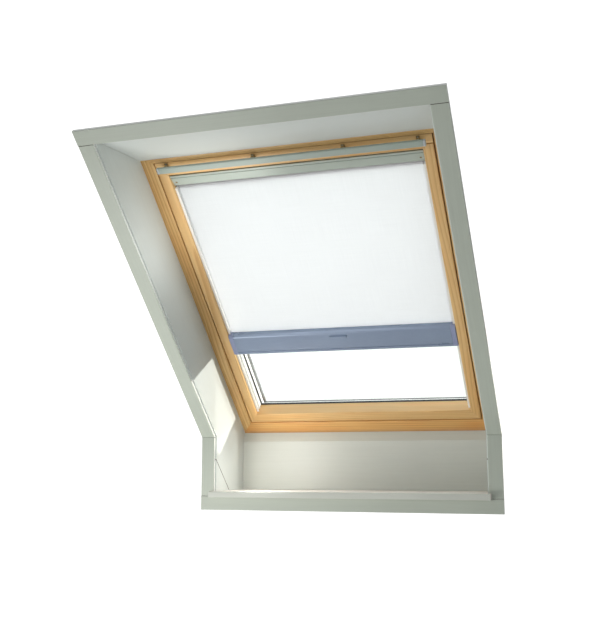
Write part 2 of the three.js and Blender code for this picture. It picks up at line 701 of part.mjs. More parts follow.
function addSash() {
  const glassHalf = sashInner + GLASS_COVER;
  const stileSection = [
    [sashHalf, sashFace, SASH_EDGE_RADIUS],
    [sashHalf, sashBack],
    [glassHalf, sashBack],
    [glassHalf, ledge],
    [sashInner, ledge],
    [sashInner, sashFace, SASH_EDGE_RADIUS],
  ];
  for (const side of ["left", "right"]) {
    const section = side === "left" ? mirrored(stileSection) : stileSection;
    const print = alongY(sashPrint(0, side), sashFace - OVERRUN, sashBack + OVERRUN);
    const stile = common(alongZ(section, sashFoot, sashTop), print);
    const recessFrom = sashHalf - PIVOT_PLATE_THICKNESS - GAP;
    const armRecess = onSide(side, platePrint(GAP), recessFrom, sashHalf + OVERRUN);
    place(slope, `sash_${side}_stile`, cut(stile, flapSpace(), armRecess), pine);
    const arm = onSide(side, platePrint(0), sashHalf - PIVOT_PLATE_THICKNESS, sashHalf);
    const pin = rodOnSide(side, PIVOT_PIN_RADIUS, sashHalf - PIVOT_PLATE_THICKNESS / 2, pinReach);
    place(slope, `${side}_pivot_arm`, joined(arm, pin), steel);
  }
  const prints = ["left", "right"].map((side) =>
    alongY(sashPrint(GAP, side), sashFace - OVERRUN, sashBack + OVERRUN),
  );
  const glassTop = sightTop + GLASS_COVER;
  const topSection = [
    [sashFace, sightTop, SASH_EDGE_RADIUS],
    [ledge, sightTop],
    [ledge, glassTop],
    [sashBack, glassTop],
    [sashBack, sashTop - SASH_TOP_TAPER],
    [sashFace, sashTop],
  ];
  const lockPocket = alongX(
    rectangle(
      sashFace + LOCK_INSET - GAP,
      sashTop - LOCK_HEIGHT - GAP,
      sashFace + LOCK_INSET + LOCK_DEPTH + GAP,
      sashTop + OVERRUN,
    ),
    -LOCK_HALF_WIDTH - GAP,
    LOCK_HALF_WIDTH + GAP,
  );
  const topRail = alongX(topSection, -sashHalf, sashHalf);
  place(slope, "sash_top_rail", cut(topRail, ...prints, flapSpace(), lockPocket), pine);
  // The glass lies over the whole bottom rail, which keeps its full depth only beside it.
  const bottomSection = [
    [sashFace, sashFoot, SASH_EDGE_RADIUS],
    [sashBack, sashFoot],
    [sashBack, sightFoot - SASH_BEVEL],
    [ledge, sightFoot - SASH_BEVEL],
    [sashFace, sightFoot, SASH_EDGE_RADIUS],
  ];
  const glassSpace = alongX(
    rectangle(ledge, sashFoot - OVERRUN, sashBack + OVERRUN, sightFoot),
    -glassHalf,
    glassHalf,
  );
  const bottomRail = alongX(bottomSection, -sashHalf, sashHalf);
  place(slope, "sash_bottom_rail", cut(bottomRail, ...prints, glassSpace), pine);
  addGlazing(glassHalf - GAP, sashFoot + CLADDING_WALL + GAP, glassTop - GAP);
  addCladding(glassHalf - GAP);
  addLock();
}

// Glass unit: a gasket on the ledge, two panes and the spacer between them.
function addGlazing(half, foot, top) {
  const ring = (outerHalf, low, high, innerHalf, innerLow, innerHigh) => {
    const shape = outline(rectangle(-outerHalf, low, outerHalf, high));
    shape.holes.push(outline(rectangle(-innerHalf, innerLow, innerHalf, innerHigh)));
    return shape;
  };
  const gasketFrom = ledge + GAP;
  const gasketTo = gasketFrom + GASKET_THICKNESS;
  const gasketRing = ring(
    half,
    foot,
    top,
    sashInner - GASKET_LIP,
    sightFoot - SASH_BEVEL + GASKET_LIP,
    sightTop - GASKET_LIP,
  );
  place(slope, "glazing_gasket", alongY(gasketRing, gasketFrom, gasketTo), rubber);
  const innerFrom = gasketTo + GAP;
  const innerTo = innerFrom + PANE_THICKNESS;
  const pane = rectangle(-half, foot, half, top);
  place(slope, "inner_pane", alongY(pane, innerFrom, innerTo), glass);
  const spacerTo = innerTo + GAP + SPACER_DEPTH;
  const border = GLASS_COVER - SPACER_WIDTH / 2;
  const spacerRing = ring(
    half - border / 2,
    foot + border / 2,
    top - border / 2,
    half - border / 2 - SPACER_WIDTH,
    foot + border / 2 + SPACER_WIDTH,
    top - border / 2 - SPACER_WIDTH,
  );
  place(slope, "spacer_frame", alongY(spacerRing, innerTo + GAP, spacerTo), silver);
  place(slope, "outer_pane", alongY(pane, spacerTo + GAP, spacerTo + GAP + PANE_THICKNESS), glass);
}

// Cladding: folded channels over the sash's back, mitred at the corners, lapping on the outer pane. The
// lower one is narrow, so that water runs off the glass, and its skirt closes the glass's foot.
function addCladding(skirtHalf) {
  const near = sashBack + GAP;
  const top = near + CLADDING_HEIGHT;
  const edge = sashInner - CLADDING_LAP;
  const channel = (outer, inner) => {
    const wall = outer > inner ? CLADDING_WALL : -CLADDING_WALL;
    return [
      [inner, near],
      [inner + wall, near],
      [inner + wall, top - CLADDING_WALL],
      [outer - wall, top - CLADDING_WALL],
      [outer - wall, near],
      [outer, near],
      [outer, top],
      [inner, top],
    ];
  };
  const low = sashFoot + CLADDING_FOOT;
  const high = sightTop - CLADDING_LAP;
  const print = (grow, side) => {
    const corners = stilePrint(sashHalf, edge, sashFoot, low, high, sashTop, grow);
    return side === "left" ? mirrored(corners) : corners;
  };
  for (const side of ["left", "right"]) {
    const section = channel(sashHalf, edge);
    const run = alongZ(side === "left" ? mirrored(section) : section, sashFoot, sashTop);
    const kept = alongY(print(0, side), sashBack, top + OVERRUN);
    place(slope, `sash_${side}_cladding`, common(run, kept), greyMetal);
  }
  const prints = ["left", "right"].map((side) => alongY(print(GAP, side), sashBack, top + OVERRUN));
  const across = (corners) => corners.map(([height, depth]) => [depth, height]);
  const topRun = across(channel(sashTop - SASH_TOP_TAPER, high)).reverse();
  place(slope, "sash_top_cladding", cut(alongX(topRun, -sashHalf, sashHalf), ...prints), greyMetal);
  const bottomRun = alongX(across(channel(sashFoot, low)), -sashHalf, sashHalf);
  const skirt = rectangle(ledge + GAP, sashFoot, near + CLADDING_WALL, sashFoot + CLADDING_WALL);
  const bottom = joined(bottomRun, alongX(skirt, -skirtHalf, skirtHalf));
  place(slope, "sash_bottom_cladding", cut(bottom, ...prints), greyMetal);
}

// Lock: a case in the top rail, open at its top for the bolt that the flap draws back.
function addLock() {
  const front = sashFace + LOCK_INSET;
  const middle = front + LOCK_DEPTH / 2;
  const caseTop = sashTop - SASH_TOP_TAPER;
  const box = alongX(
    rectangle(front, sashTop - LOCK_HEIGHT, front + LOCK_DEPTH, caseTop),
    -LOCK_HALF_WIDTH,
    LOCK_HALF_WIDTH,
  );
  const boltWell = (grow, from, to) =>
    alongX(
      rectangle(middle - BOLT_DEPTH / 2 - grow, from, middle + BOLT_DEPTH / 2 + grow, to),
      -BOLT_WIDTH / 2 - grow,
      BOLT_WIDTH / 2 + grow,
    );
  const boltTop = headInner - HEAD_RUNNING_GAP + BOLT_REACH;
  const wellFoot = boltTop - BOLT_LENGTH - BOLT_TRAVEL - GAP;
  place(slope, "lock_case", cut(box, boltWell(GAP, wellFoot, caseTop + OVERRUN)), steel);
  place(slope, "lock_bolt", boltWell(0, boltTop - BOLT_LENGTH, boltTop), steel);
}

// Flap, the rod it turns on, with lugs that stand on the sash in the flap's notches, and the control
// bar that stands on brackets in front of the flap. The flap's lower front edge is rounded about the rod.
function addFlap() {
  const face = sashFace + GAP;
  const rodOut = face + FLAP_ROD_INSET;
  const rodAlong = flapFoot + FLAP_ROD_INSET;
  const section = [
    [face, flapFoot, FLAP_ROD_INSET],
    [flapBack, flapFoot],
    [flapBack, flapTop - FLAP_BEVEL],
    [face, flapTop, SASH_EDGE_RADIUS / 2],
  ];
  const half = sashHalf - GAP;
  const bore = rodAlongX(FLAP_ROD_RADIUS + GAP, rodOut, rodAlong, -half - OVERRUN, half + OVERRUN);
  const reach = FLAP_ROD_INSET + 2 * GAP;
  const notches = FLAP_LUG_PLACE_SHARES.map((share) => {
    const space = rectangle(rodOut - OVERRUN, rodAlong - OVERRUN, rodOut + reach, rodAlong + reach);
    const middle = share * half;
    return alongX(space, middle - FLAP_LUG_WIDTH / 2 - GAP, middle + FLAP_LUG_WIDTH / 2 + GAP);
  });
  place(slope, "vent_flap", cut(alongX(section, -half, half), bore, ...notches), pine);
  const knuckle = FLAP_ROD_INSET - GAP;
  const lugSection = [
    [rodOut - knuckle, flapFoot],
    [rodOut + knuckle, flapFoot],
    [rodOut + knuckle, rodAlong + knuckle, knuckle - GAP],
    [rodOut - knuckle, rodAlong + knuckle, knuckle - GAP],
  ];
  const lugs = FLAP_LUG_PLACE_SHARES.map((share) =>
    alongX(lugSection, share * half - FLAP_LUG_WIDTH / 2, share * half + FLAP_LUG_WIDTH / 2),
  );
  const rod = rodAlongX(FLAP_ROD_RADIUS, rodOut, rodAlong, -half, half);
  place(slope, "flap_hinge_rod", joined(rod, ...lugs), steel);

  const barHalf = sashHalf - BAR_SET_BACK - BAR_CAP - GAP;
  const barFoot = flapFoot + BAR_LIFT;
  const barBack = face - BAR_STANDOFF;
  const barTop = barFoot + BAR_HEIGHT;
  const capSection = rectangle(barBack - BAR_DEPTH, barFoot, barBack, barTop, BAR_RADIUS);
  const barSection = outline(capSection);
  barSection.holes.push(
    outline(
      rectangle(
        barBack - BAR_DEPTH + BAR_WALL,
        barFoot + BAR_WALL,
        barBack - BAR_WALL,
        barTop - BAR_WALL,
        BAR_RADIUS - BAR_WALL,
      ),
    ),
  );
  place(slope, "control_bar", alongX(barSection, -barHalf, barHalf), silver);
  const capFrom = barHalf + GAP;
  place(slope, "bar_left_cap", onSide("left", capSection, capFrom, capFrom + BAR_CAP), silver);
  place(slope, "bar_right_cap", onSide("right", capSection, capFrom, capFrom + BAR_CAP), silver);

  const foot = barFoot + (BAR_HEIGHT - BRACKET_HEIGHT) / 2 + BRACKET_FOOT;
  const bracket = [
    [face - GAP, foot - BRACKET_FOOT],
    [face - GAP, foot + BRACKET_HEIGHT],
    [face - BRACKET_FOOT, foot + BRACKET_HEIGHT, GAP],
    [face - BRACKET_FOOT - GAP, foot + BRACKET_ARM],
    [barBack + GAP, foot + BRACKET_ARM - BRACKET_FOOT],
    [barBack + GAP, foot - BRACKET_FOOT],
  ].reverse();
  BRACKET_PLACE_SHARES.forEach((share, i) => {
    const middle = share * barHalf;
    const arm = alongX(bracket, middle - BRACKET_WIDTH / 2, middle + BRACKET_WIDTH / 2);
    place(slope, `bar_bracket_${i + 1}`, arm, darkPlastic);
  });
}

// Roller blind
const cassetteTop = sightTop - CASSETTE_DROP;
const cassetteFoot = cassetteTop - CASSETTE_HEIGHT;
const cassetteFront = sashFace + CASSETTE_SET_BACK;
const rollerOut = cassetteFront + ROLLER_BACK;
const rollerAlong = cassetteTop - ROLLER_BELOW;
const fabricOut = rollerOut - FABRIC_ROLL_RADIUS - GAP;
const cassetteHalf = sashInner - GAP - CASSETTE_CAP - GAP;

function addCassette() {
  const lipAlong = cassetteTop - CASSETTE_LIP;
  const lipOut = cassetteFront + CASSETTE_SLANT;
  const back = cassetteFront + CASSETTE_DEPTH;
  const wall = CASSETTE_WALL;
  const shell = [
    [cassetteFront, cassetteTop, wall],
    [lipOut, lipAlong, wall / 2],
    [lipOut + wall, lipAlong],
    [cassetteFront + wall, cassetteTop - wall],
    [back - wall, cassetteTop - wall],
    [back - wall, cassetteFoot + wall],
    [lipOut + wall + CASSETTE_SLOT, cassetteFoot + wall],
    [lipOut + wall + CASSETTE_SLOT, cassetteFoot],
    [back, cassetteFoot, wall],
    [back, cassetteTop, wall],
    [cassetteFront + CASSETTE_SET_BACK + CASSETTE_GROOVE, cassetteTop],
    [cassetteFront + CASSETTE_SET_BACK + CASSETTE_GROOVE / 2, cassetteTop - CASSETTE_GROOVE / 2],
    [cassetteFront + CASSETTE_SET_BACK, cassetteTop],
  ];
  place(slope, "blind_cassette", alongX(shell, -cassetteHalf, cassetteHalf), cassetteGrey);
  const capPrint = [
    [cassetteFront, cassetteTop, wall],
    [lipOut, lipAlong, wall / 2],
    [lipOut + wall + CASSETTE_SLOT, cassetteFoot],
    [back, cassetteFoot, wall],
    [back, cassetteTop, wall],
  ];
  for (const side of ["left", "right"]) {
    const from = cassetteHalf + GAP;
    const plate = onSide(side, capPrint, from, from + CASSETTE_CAP);
    const bossFrom = cassetteHalf - ROLLER_BOSS;
    const bossTo = from + CASSETTE_CAP / 2;
    const radius = TUBE_RADIUS - TUBE_WALL - GAP;
    const ends = side === "left" ? [-bossTo, -bossFrom] : [bossFrom, bossTo];
    const boss = rodAlongX(radius, rollerOut, rollerAlong, ...ends);
    place(slope, `cassette_${side}_cap`, joined(plate, boss), cassetteGrey);
  }
}

// A hollow roll round the roller's axis.
function roll(outer, inner, half) {
  const shell = rodAlongX(outer, rollerOut, rollerAlong, -half, half);
  const bore = rodAlongX(inner, rollerOut, rollerAlong, -half - OVERRUN, half + OVERRUN);
  return cut(shell, bore);
}

const fabricHalf = sashInner - FABRIC_INSET;
const barFootAlong = sightFoot + BLIND_BAR_FOOT;
const barTopAlong = barFootAlong + BLIND_BAR_HEIGHT;

function addRoller() {
  place(slope, "roller_tube", roll(TUBE_RADIUS, TUBE_RADIUS - TUBE_WALL, fabricHalf), silver);
  place(slope, "fabric_roll", roll(FABRIC_ROLL_RADIUS, TUBE_RADIUS + GAP, fabricHalf), fabricWhite);
  const sheet = rectangle(fabricOut - FABRIC_THICKNESS, barTopAlong + GAP, fabricOut, rollerAlong);
  place(slope, "blind_fabric", alongX(sheet, -fabricHalf, fabricHalf), fabricWhite);
}

// Side channels: slim troughs on the stiles, open towards the fabric.
function addChannels() {
  const outer = sashInner - GAP;
  const inner = outer - CHANNEL_WIDTH;
  const middle = fabricOut - FABRIC_THICKNESS / 2;
  const near = middle - CHANNEL_DEPTH / 2;
  const far = middle + CHANNEL_DEPTH / 2;
  const wall = CHANNEL_WALL;
  const section = [
    [inner, near],
    [outer, near],
    [outer, far],
    [inner, far],
    [inner, far - wall],
    [outer - wall, far - wall],
    [outer - wall, near + wall],
    [inner, near + wall],
  ];
  const from = sightFoot + CHANNEL_FOOT;
  const to = cassetteFoot - GAP;
  for (const side of ["left", "right"]) {
    const corners = side === "left" ? mirrored(section) : section;
    place(slope, `${side}_side_channel`, alongZ(corners, from, to), channelWhite);
  }
}

// The blind's bar: a hollow extrusion with a rounded front, a groove above its lip and a grip.
function addBlindBar() {
  const front = sashFace - BLIND_BAR_PROUD;
  const back = front + BLIND_BAR_DEPTH;
  const foot = barFootAlong;
  const top = barTopAlong;
  const grooveAt = foot + BLIND_BAR_LIP;
  const outside = [
    [back, foot, BLIND_BAR_WALL],
    [back, top, BLIND_BAR_WALL],
    [front + BLIND_BAR_SHOULDER, top, BLIND_BAR_WALL],
    [front, top - BLIND_BAR_SHOULDER, BLIND_BAR_SHOULDER / 2],
    [front, grooveAt + BLIND_BAR_GROOVE],
    [front + BLIND_BAR_GROOVE, grooveAt + BLIND_BAR_GROOVE],
    [front + BLIND_BAR_GROOVE, grooveAt],
    [front, grooveAt],
    [front, foot, BLIND_BAR_WALL],
  ];
  const wall = 2 * BLIND_BAR_WALL;
  const inside = [
    [back - wall, foot + wall],
    [back - wall, top - wall],
    [front + BLIND_BAR_SHOULDER, top - wall],
    [front + wall + BLIND_BAR_GROOVE, top - BLIND_BAR_SHOULDER],
    [front + wall + BLIND_BAR_GROOVE, foot + wall],
  ];
  const profile = outline(outside);
  profile.holes.push(outline(inside));
  const channelInner = sashInner - GAP - CHANNEL_WIDTH;
  const bodyHalf = channelInner - BLIND_BAR_CAP / 2;
  const gripTop = top - GRIP_DROP;
  const grip = [
    [front + BLIND_BAR_WALL, gripTop - 2 * GRIP_THICKNESS],
    [front + BLIND_BAR_WALL, gripTop],
    [front - GRIP_REACH, gripTop, GRIP_THICKNESS / 4],
    [front - GRIP_REACH, gripTop - GRIP_THICKNESS, GRIP_THICKNESS / 4],
    [front - GRIP_REACH / 2, gripTop - GRIP_THICKNESS],
  ].reverse();
  const body = alongX(profile, -bodyHalf, bodyHalf);
  place(slope, "blind_bar", joined(body, alongX(grip, -GRIP_HALF_WIDTH, GRIP_HALF_WIDTH)), barBlue);
  const channelNear = fabricOut - FABRIC_THICKNESS / 2 - CHANNEL_DEPTH / 2;
  const middle = fabricOut - FABRIC_THICKNESS / 2;
  for (const side of ["left", "right"]) {
    const from = bodyHalf + GAP;
    const blockSection = rectangle(front, foot, back, top, BLIND_BAR_WALL);
    const block = onSide(side, blockSection, from, channelInner - GAP);
    const wing = onSide(
      side,
      rectangle(front, foot, channelNear - GAP, top, BLIND_BAR_WALL),
      from,
      sashInner - 2 * GAP,
    );
    const tongue = onSide(
      side,
      rectangle(middle - TONGUE_THICKNESS / 2, foot, middle + TONGUE_THICKNESS / 2, top - GAP),
      from,
      sashInner - GAP - CHANNEL_WALL - GAP,
    );
    place(slope, `blind_bar_${side}_cap`, joined(block, wing, tongue), capBlue);
  }
}

addArchitrave();
addLining();
addFrame();
addCovers();
addSash();
addFlap();
addCassette();
addRoller();
addChannels();
addBlindBar();

export default part;
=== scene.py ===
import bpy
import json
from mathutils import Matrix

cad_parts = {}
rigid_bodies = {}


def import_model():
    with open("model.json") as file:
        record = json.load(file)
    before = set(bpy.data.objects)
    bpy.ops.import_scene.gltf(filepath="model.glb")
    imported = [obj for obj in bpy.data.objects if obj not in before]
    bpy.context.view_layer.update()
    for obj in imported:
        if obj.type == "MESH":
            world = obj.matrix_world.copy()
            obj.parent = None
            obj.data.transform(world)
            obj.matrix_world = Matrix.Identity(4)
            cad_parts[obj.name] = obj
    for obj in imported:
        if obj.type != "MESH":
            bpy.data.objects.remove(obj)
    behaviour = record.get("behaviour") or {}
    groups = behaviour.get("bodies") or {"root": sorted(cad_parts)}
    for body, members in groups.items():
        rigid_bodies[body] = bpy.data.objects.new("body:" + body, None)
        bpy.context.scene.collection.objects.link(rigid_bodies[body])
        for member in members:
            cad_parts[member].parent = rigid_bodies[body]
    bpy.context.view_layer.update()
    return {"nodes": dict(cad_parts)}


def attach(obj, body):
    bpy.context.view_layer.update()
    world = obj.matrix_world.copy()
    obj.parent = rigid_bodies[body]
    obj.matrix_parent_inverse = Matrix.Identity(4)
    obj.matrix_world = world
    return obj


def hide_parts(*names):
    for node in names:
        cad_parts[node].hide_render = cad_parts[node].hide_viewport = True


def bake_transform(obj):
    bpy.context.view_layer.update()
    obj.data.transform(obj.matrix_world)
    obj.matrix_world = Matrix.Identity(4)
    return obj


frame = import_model()

import json
import math

import bpy
import numpy as np

nodes = frame["nodes"]

# Camera. It stands below and to the right of the window, a little over two metres back, and looks
# slightly up and to the left, with its horizon level.
degrees_up, degrees_left = 9.122, 18.486
camera = bpy.data.objects.new("camera", bpy.data.cameras.new("camera"))
camera.location = (0.7057, -2.4954, 0.1050)
camera.rotation_euler = (math.radians(90 + degrees_up), 0, math.radians(degrees_left))
camera.data.sensor_width = 36
camera.data.lens = 54.912
camera.data.clip_start, camera.data.clip_end = 0.05, 60
bpy.context.scene.collection.objects.link(camera)
bpy.context.scene.camera = camera
bpy.context.scene.view_settings.view_transform = "Standard"

# Studio. A pale floor and a white room, which shows behind the glass and is brighter on the roof's side.
# Soft lamps: a key low at the left, a weak fill, the sky above the roof, a far one for glints and two small
# ones inside the lining. Two beams from the right come in through the glass and lie on its left side.
roof_pitch = math.radians(42)
through_roof = (0.0, math.sin(roof_pitch), math.cos(roof_pitch))


def add(tree, kind, inputs=None, **settings):
    """One shader node. settings are its properties, and inputs its sockets, each a value or a socket. A
    colour of three shares is taken as opaque."""
    node = tree.nodes.new("ShaderNode" + kind)
    for name, value in settings.items():
        setattr(node, name, value)
    for name, value in (inputs or {}).items():
        socket = node.inputs[name]
        if isinstance(value, bpy.types.NodeSocket):
            tree.links.new(value, socket)
        elif socket.type == "RGBA" and len(value) == 3:
            socket.default_value = (*value, 1)
        else:
            socket.default_value = value
    return node


def number(tree, operation, *values):
    """The result of one sum on up to three values, as a Math node gives it."""
    return add(tree, "Math", dict(enumerate(values)), operation=operation).outputs[0]


def spread(tree, value, low, high, first=0.0, last=1.0, **settings):
    """value carried from the range low to high onto the range first to last."""
    ranges = {"Value": value, "From Min": low, "From Max": high, "To Min": first, "To Max": last}
    return add(tree, "MapRange", ranges, **settings).outputs[0]


def along_way(tree, place, way):
    """How far place lies along the direction way: their dot product."""
    return add(tree, "VectorMath", {0: place, 1: way}, operation="DOT_PRODUCT").outputs["Value"]


world = bpy.data.worlds.new("white_room")
bpy.context.scene.world = world
world.use_nodes = True
room = world.node_tree
room.nodes.clear()
path = add(room, "LightPath").outputs
seen = number(room, "MAXIMUM", path["Is Camera Ray"], path["Is Transmission Ray"])
roofward = along_way(room, add(room, "TexCoord").outputs["Generated"], through_roof)
daylight = spread(room, roofward, low=0.35, high=0.85, first=0.24, last=0.95, interpolation_type="SMOOTHSTEP")
lighting = add(room, "Background", {"Color": (0.97, 0.985, 1.0), "Strength": daylight})
backdrop = add(room, "Background", {"Color": (1.0, 1.0, 1.0), "Strength": 1.25})
both = add(room, "MixShader", {0: seen, 1: lighting.outputs[0], 2: backdrop.outputs[0]})
add(room, "OutputWorld", {"Surface": both.outputs[0]})


def soft_lamp(name, place, target, size, power, colour):
    """A square area lamp at place that faces target. Neither the camera nor the glass shows it."""
    lamp = bpy.data.objects.new(name, bpy.data.lights.new(name, "AREA"))
    lamp.data.shape, lamp.data.size = "SQUARE", size
    lamp.data.energy, lamp.data.color = power, colour
    lamp.location = place
    aim = type(lamp.location)(target) - lamp.location
    lamp.rotation_euler = aim.to_track_quat("-Z", "Y").to_euler()
    lamp.visible_camera = lamp.visible_transmission = False
    bpy.context.scene.collection.objects.link(lamp)


def window_beam(name, target, way, radius, power, cone_degrees=17, cone_blend=0.4, reach=3.6):
    """A narrow spot lamp that shines on target from the direction way, reach metres off."""
    beam = bpy.data.objects.new(name, bpy.data.lights.new(name, "SPOT"))
    beam.data.energy, beam.data.color = power, (1.0, 0.93, 0.89)
    beam.data.shadow_soft_size = radius
    beam.data.spot_size, beam.data.spot_blend = math.radians(cone_degrees), cone_blend
    way = type(beam.location)(way).normalized()
    beam.location = type(beam.location)(target) + way * reach
    beam.rotation_euler = way.to_track_quat("Z", "Y").to_euler()
    bpy.context.scene.collection.objects.link(beam)


warm_white, cool_white = (1.0, 0.985, 0.965), (0.97, 0.985, 1.0)
wall_white, sill_white = (1.0, 0.99, 0.97), (1.0, 0.97, 0.95)
soft_lamp("key_lamp", (-0.72, -0.80, -0.34), (-0.05, -0.02, 0.32), size=0.6, power=6.7, colour=warm_white)
soft_lamp("fill_lamp", (1.6, -1.0, 0.7), (-0.2, -0.1, 0.3), size=0.7, power=0.7, colour=cool_white)
soft_lamp("sky_lamp", (-0.05, 0.23, 1.56), (0.0, -0.2, 0.6), size=0.8, power=5.8, colour=cool_white)
soft_lamp("corner_lamp", (-0.18, -0.45, 0.60), (-0.33, -0.46, 0.79), size=0.2, power=0.30, colour=wall_white)
soft_lamp("glint_lamp", (-0.85, -3.0, 0.6), (0.0, -0.1, 0.45), size=0.6, power=10.5, colour=(1.0, 1.0, 1.0))
soft_lamp("bounce_lamp", (-0.25, -0.03, 0.13), (-0.25, 0.1, 0.05), size=0.07, power=0.25, colour=sill_white)
window_beam("low_window_lamp", target=(-0.377, -0.05, 0.25), way=(2.7, 0.82, 0.605), radius=0.04, power=530)
window_beam("high_window_lamp", target=(-0.30, 0.08, 0.10), way=(1.0, 0.0, 1.1), radius=0.08, power=175)

floor_height, floor_reach = -0.9, 2.4
square = (-1, -1), (1, -1), (1, 1), (-1, 1)
floor_corners = [(x * floor_reach, y * floor_reach, floor_height) for x, y in square]
floor_mesh = bpy.data.meshes.new("floor")
floor_mesh.from_pydata(floor_corners, [], [(0, 1, 2, 3)])
floor = bpy.data.objects.new("floor", floor_mesh)
bpy.context.scene.collection.objects.link(floor)


# Painted lining. Boards of primed fibreboard round the opening, brushed and rolled with a sage-green
# satin paint, and the flat architrave mouldings that cover the joint with ceiling and wall.
def noise(tree, place, scale=1.0, detail=2.0, roughness=0.5):
    """A noise pattern on place."""
    inputs = {"Vector": place, "Scale": scale, "Detail": detail, "Roughness": roughness}
    return add(tree, "TexNoise", inputs).outputs[0]


def scaled(tree, place, scale):
    """place times scale, which makes a pattern on it finer in each direction."""
    return add(tree, "Mapping", {"Vector": place, "Scale": scale}).outputs[0]


def mix(tree, mask, without, within):
    """The colour without where mask is 0, and within where it is 1."""
    return add(tree, "Mix", {0: mask, 6: without, 7: within}, data_type="RGBA").outputs[2]


def effect(name, inputs):
    """An empty node group. Its inputs are a Vector and those given, each name: (socket kind, default), and
    its outputs Color, Roughness and Height."""
    tree = bpy.data.node_groups.new(name, "ShaderNodeTree")
    tree.interface.new_socket("Vector", in_out="INPUT", socket_type="NodeSocketVector")
    for label, (kind, value) in inputs.items():
        socket = tree.interface.new_socket(label, in_out="INPUT", socket_type="NodeSocket" + kind)
        socket.default_value = value
    for label, kind in {"Color": "Color", "Roughness": "Float", "Height": "Float"}.items():
        tree.interface.new_socket(label, in_out="OUTPUT", socket_type="NodeSocket" + kind)
    return tree, tree.nodes.new("NodeGroupInput").outputs


def put_out(tree, colour, roughness, height):
    """Links the three results of an effect to its group's outputs."""
    out = tree.nodes.new("NodeGroupOutput").inputs
    for label, socket in {"Color": colour, "Roughness": roughness, "Height": height}.items():
        tree.links.new(socket, out[label])


def material(name, **constants):
    """A material with one Principled shader, and its constant values set on the shader's sockets."""
    made = bpy.data.materials.new(name)
    made.use_nodes = True
    tree = made.node_tree
    shader = next(n for n in tree.nodes if n.type == "BSDF_PRINCIPLED")
    for label, value in constants.items():
        shader.inputs[label.replace("_", " ")].default_value = value
    return made, tree, shader


def apply_effect(tree, shader, group, bump, **inputs):
    """Places a group and feeds its Color, Roughness and Height to the shader, Height through a Bump that
    is bump metres deep."""
    inputs = {label.replace("_", " "): value for label, value in inputs.items()}
    node = add(tree, "Group", inputs, node_tree=group)
    tree.links.new(node.outputs["Color"], shader.inputs["Base Color"])
    tree.links.new(node.outputs["Roughness"], shader.inputs["Roughness"])
    raised = add(tree, "Bump", {"Height": node.outputs["Height"], "Distance": bump})
    tree.links.new(raised.outputs[0], shader.inputs["Normal"])
    return node


def grain_space(tree, turn, shift):
    """Object coordinates turned so that Z runs along the board, and shifted, so that no two boards show the
    same stretch of a pattern. turn is in degrees about X, Y and Z."""
    place = add(tree, "TexCoord").outputs["Object"]
    angles = [math.radians(angle) for angle in turn]
    return add(tree, "Mapping", {"Vector": place, "Rotation": angles, "Location": shift}).outputs[0]


def set_finish(made, names):
    """Gives a material to the CAD nodes named in one string."""
    for name in names.split():
        nodes[name].material_slots[0].material = made


brushed_paint, given = effect(
    "brushed_paint",
    {
        "Light": ("Color", (0.5, 0.55, 0.48, 1)),
        "Dark": ("Color", (0.44, 0.49, 0.42, 1)),
        "Gloss": ("Float", 0.42),
    },
)
cloudy = noise(brushed_paint, given["Vector"], scale=4.5, detail=3.0, roughness=0.55)
strokes = noise(brushed_paint, scaled(brushed_paint, given["Vector"], (260.0, 260.0, 7.0)), detail=3.0)
peel = noise(brushed_paint, given["Vector"], scale=620.0)
tone = spread(brushed_paint, number(brushed_paint, "ADD", cloudy, strokes), 0.7, 1.3)
duller = number(brushed_paint, "ADD", given["Gloss"], 0.12)
put_out(
    brushed_paint,
    colour=mix(brushed_paint, tone, given["Dark"], given["Light"]),
    roughness=spread(brushed_paint, strokes, 0.3, 0.7, given["Gloss"], duller),
    height=number(brushed_paint, "MULTIPLY_ADD", strokes, 0.6, peel),
)

# the turns, in degrees, that lay Z along a board, and the boards that each turn suits
ALONG_SLOPE, ACROSS, UPRIGHT = (-48.0, 0.0, 0.0), (0.0, -90.0, 0.0), (0.0, 0.0, 0.0)
boards = {
    ACROSS: "architrave_top architrave_bottom head_lining bottom_lining sill_board",
    ALONG_SLOPE: "architrave_left_slope architrave_right_slope left_side_lining right_side_lining",
    UPRIGHT: "architrave_left_wall architrave_right_wall left_corner_filler right_corner_filler",
}
# paints, and painted light, each as its light and its dark tone
lining_paint = (0.62, 0.66, 0.635), (0.587, 0.625, 0.60)
# painted light: the bottom lining's face has a copy of the lining paint, tinted yellower for the light that
# falls on it
bottom_lining_painted_light = (0.645, 0.665, 0.61), (0.615, 0.635, 0.58)
trim_paint = (0.49, 0.535, 0.46), (0.45, 0.49, 0.42)
# a painted highlight: the architrave's narrow edges are much paler than its face, for the light they catch
trim_edge_painted_highlight = (0.86, 0.885, 0.845), (0.83, 0.855, 0.815)
sill_paint = (0.60, 0.62, 0.555), (0.555, 0.575, 0.515)
# painted light: the sill's top is a paler, warmer tone than its face, for the light that falls on it
sill_top_painted_light = (0.75, 0.715, 0.66), (0.71, 0.68, 0.63)
# the tone on a board's face, then on its narrow edges or the sill's top; the architrave's edges get a painted
# highlight, the sill's top painted light, and the bottom lining's face a painted tone for its light
paint_and_painted_light_of = {
    "architrave": (trim_paint, trim_edge_painted_highlight),
    "sill_board": (sill_paint, sill_top_painted_light),
    "bottom_lining": (bottom_lining_painted_light, lining_paint),
}
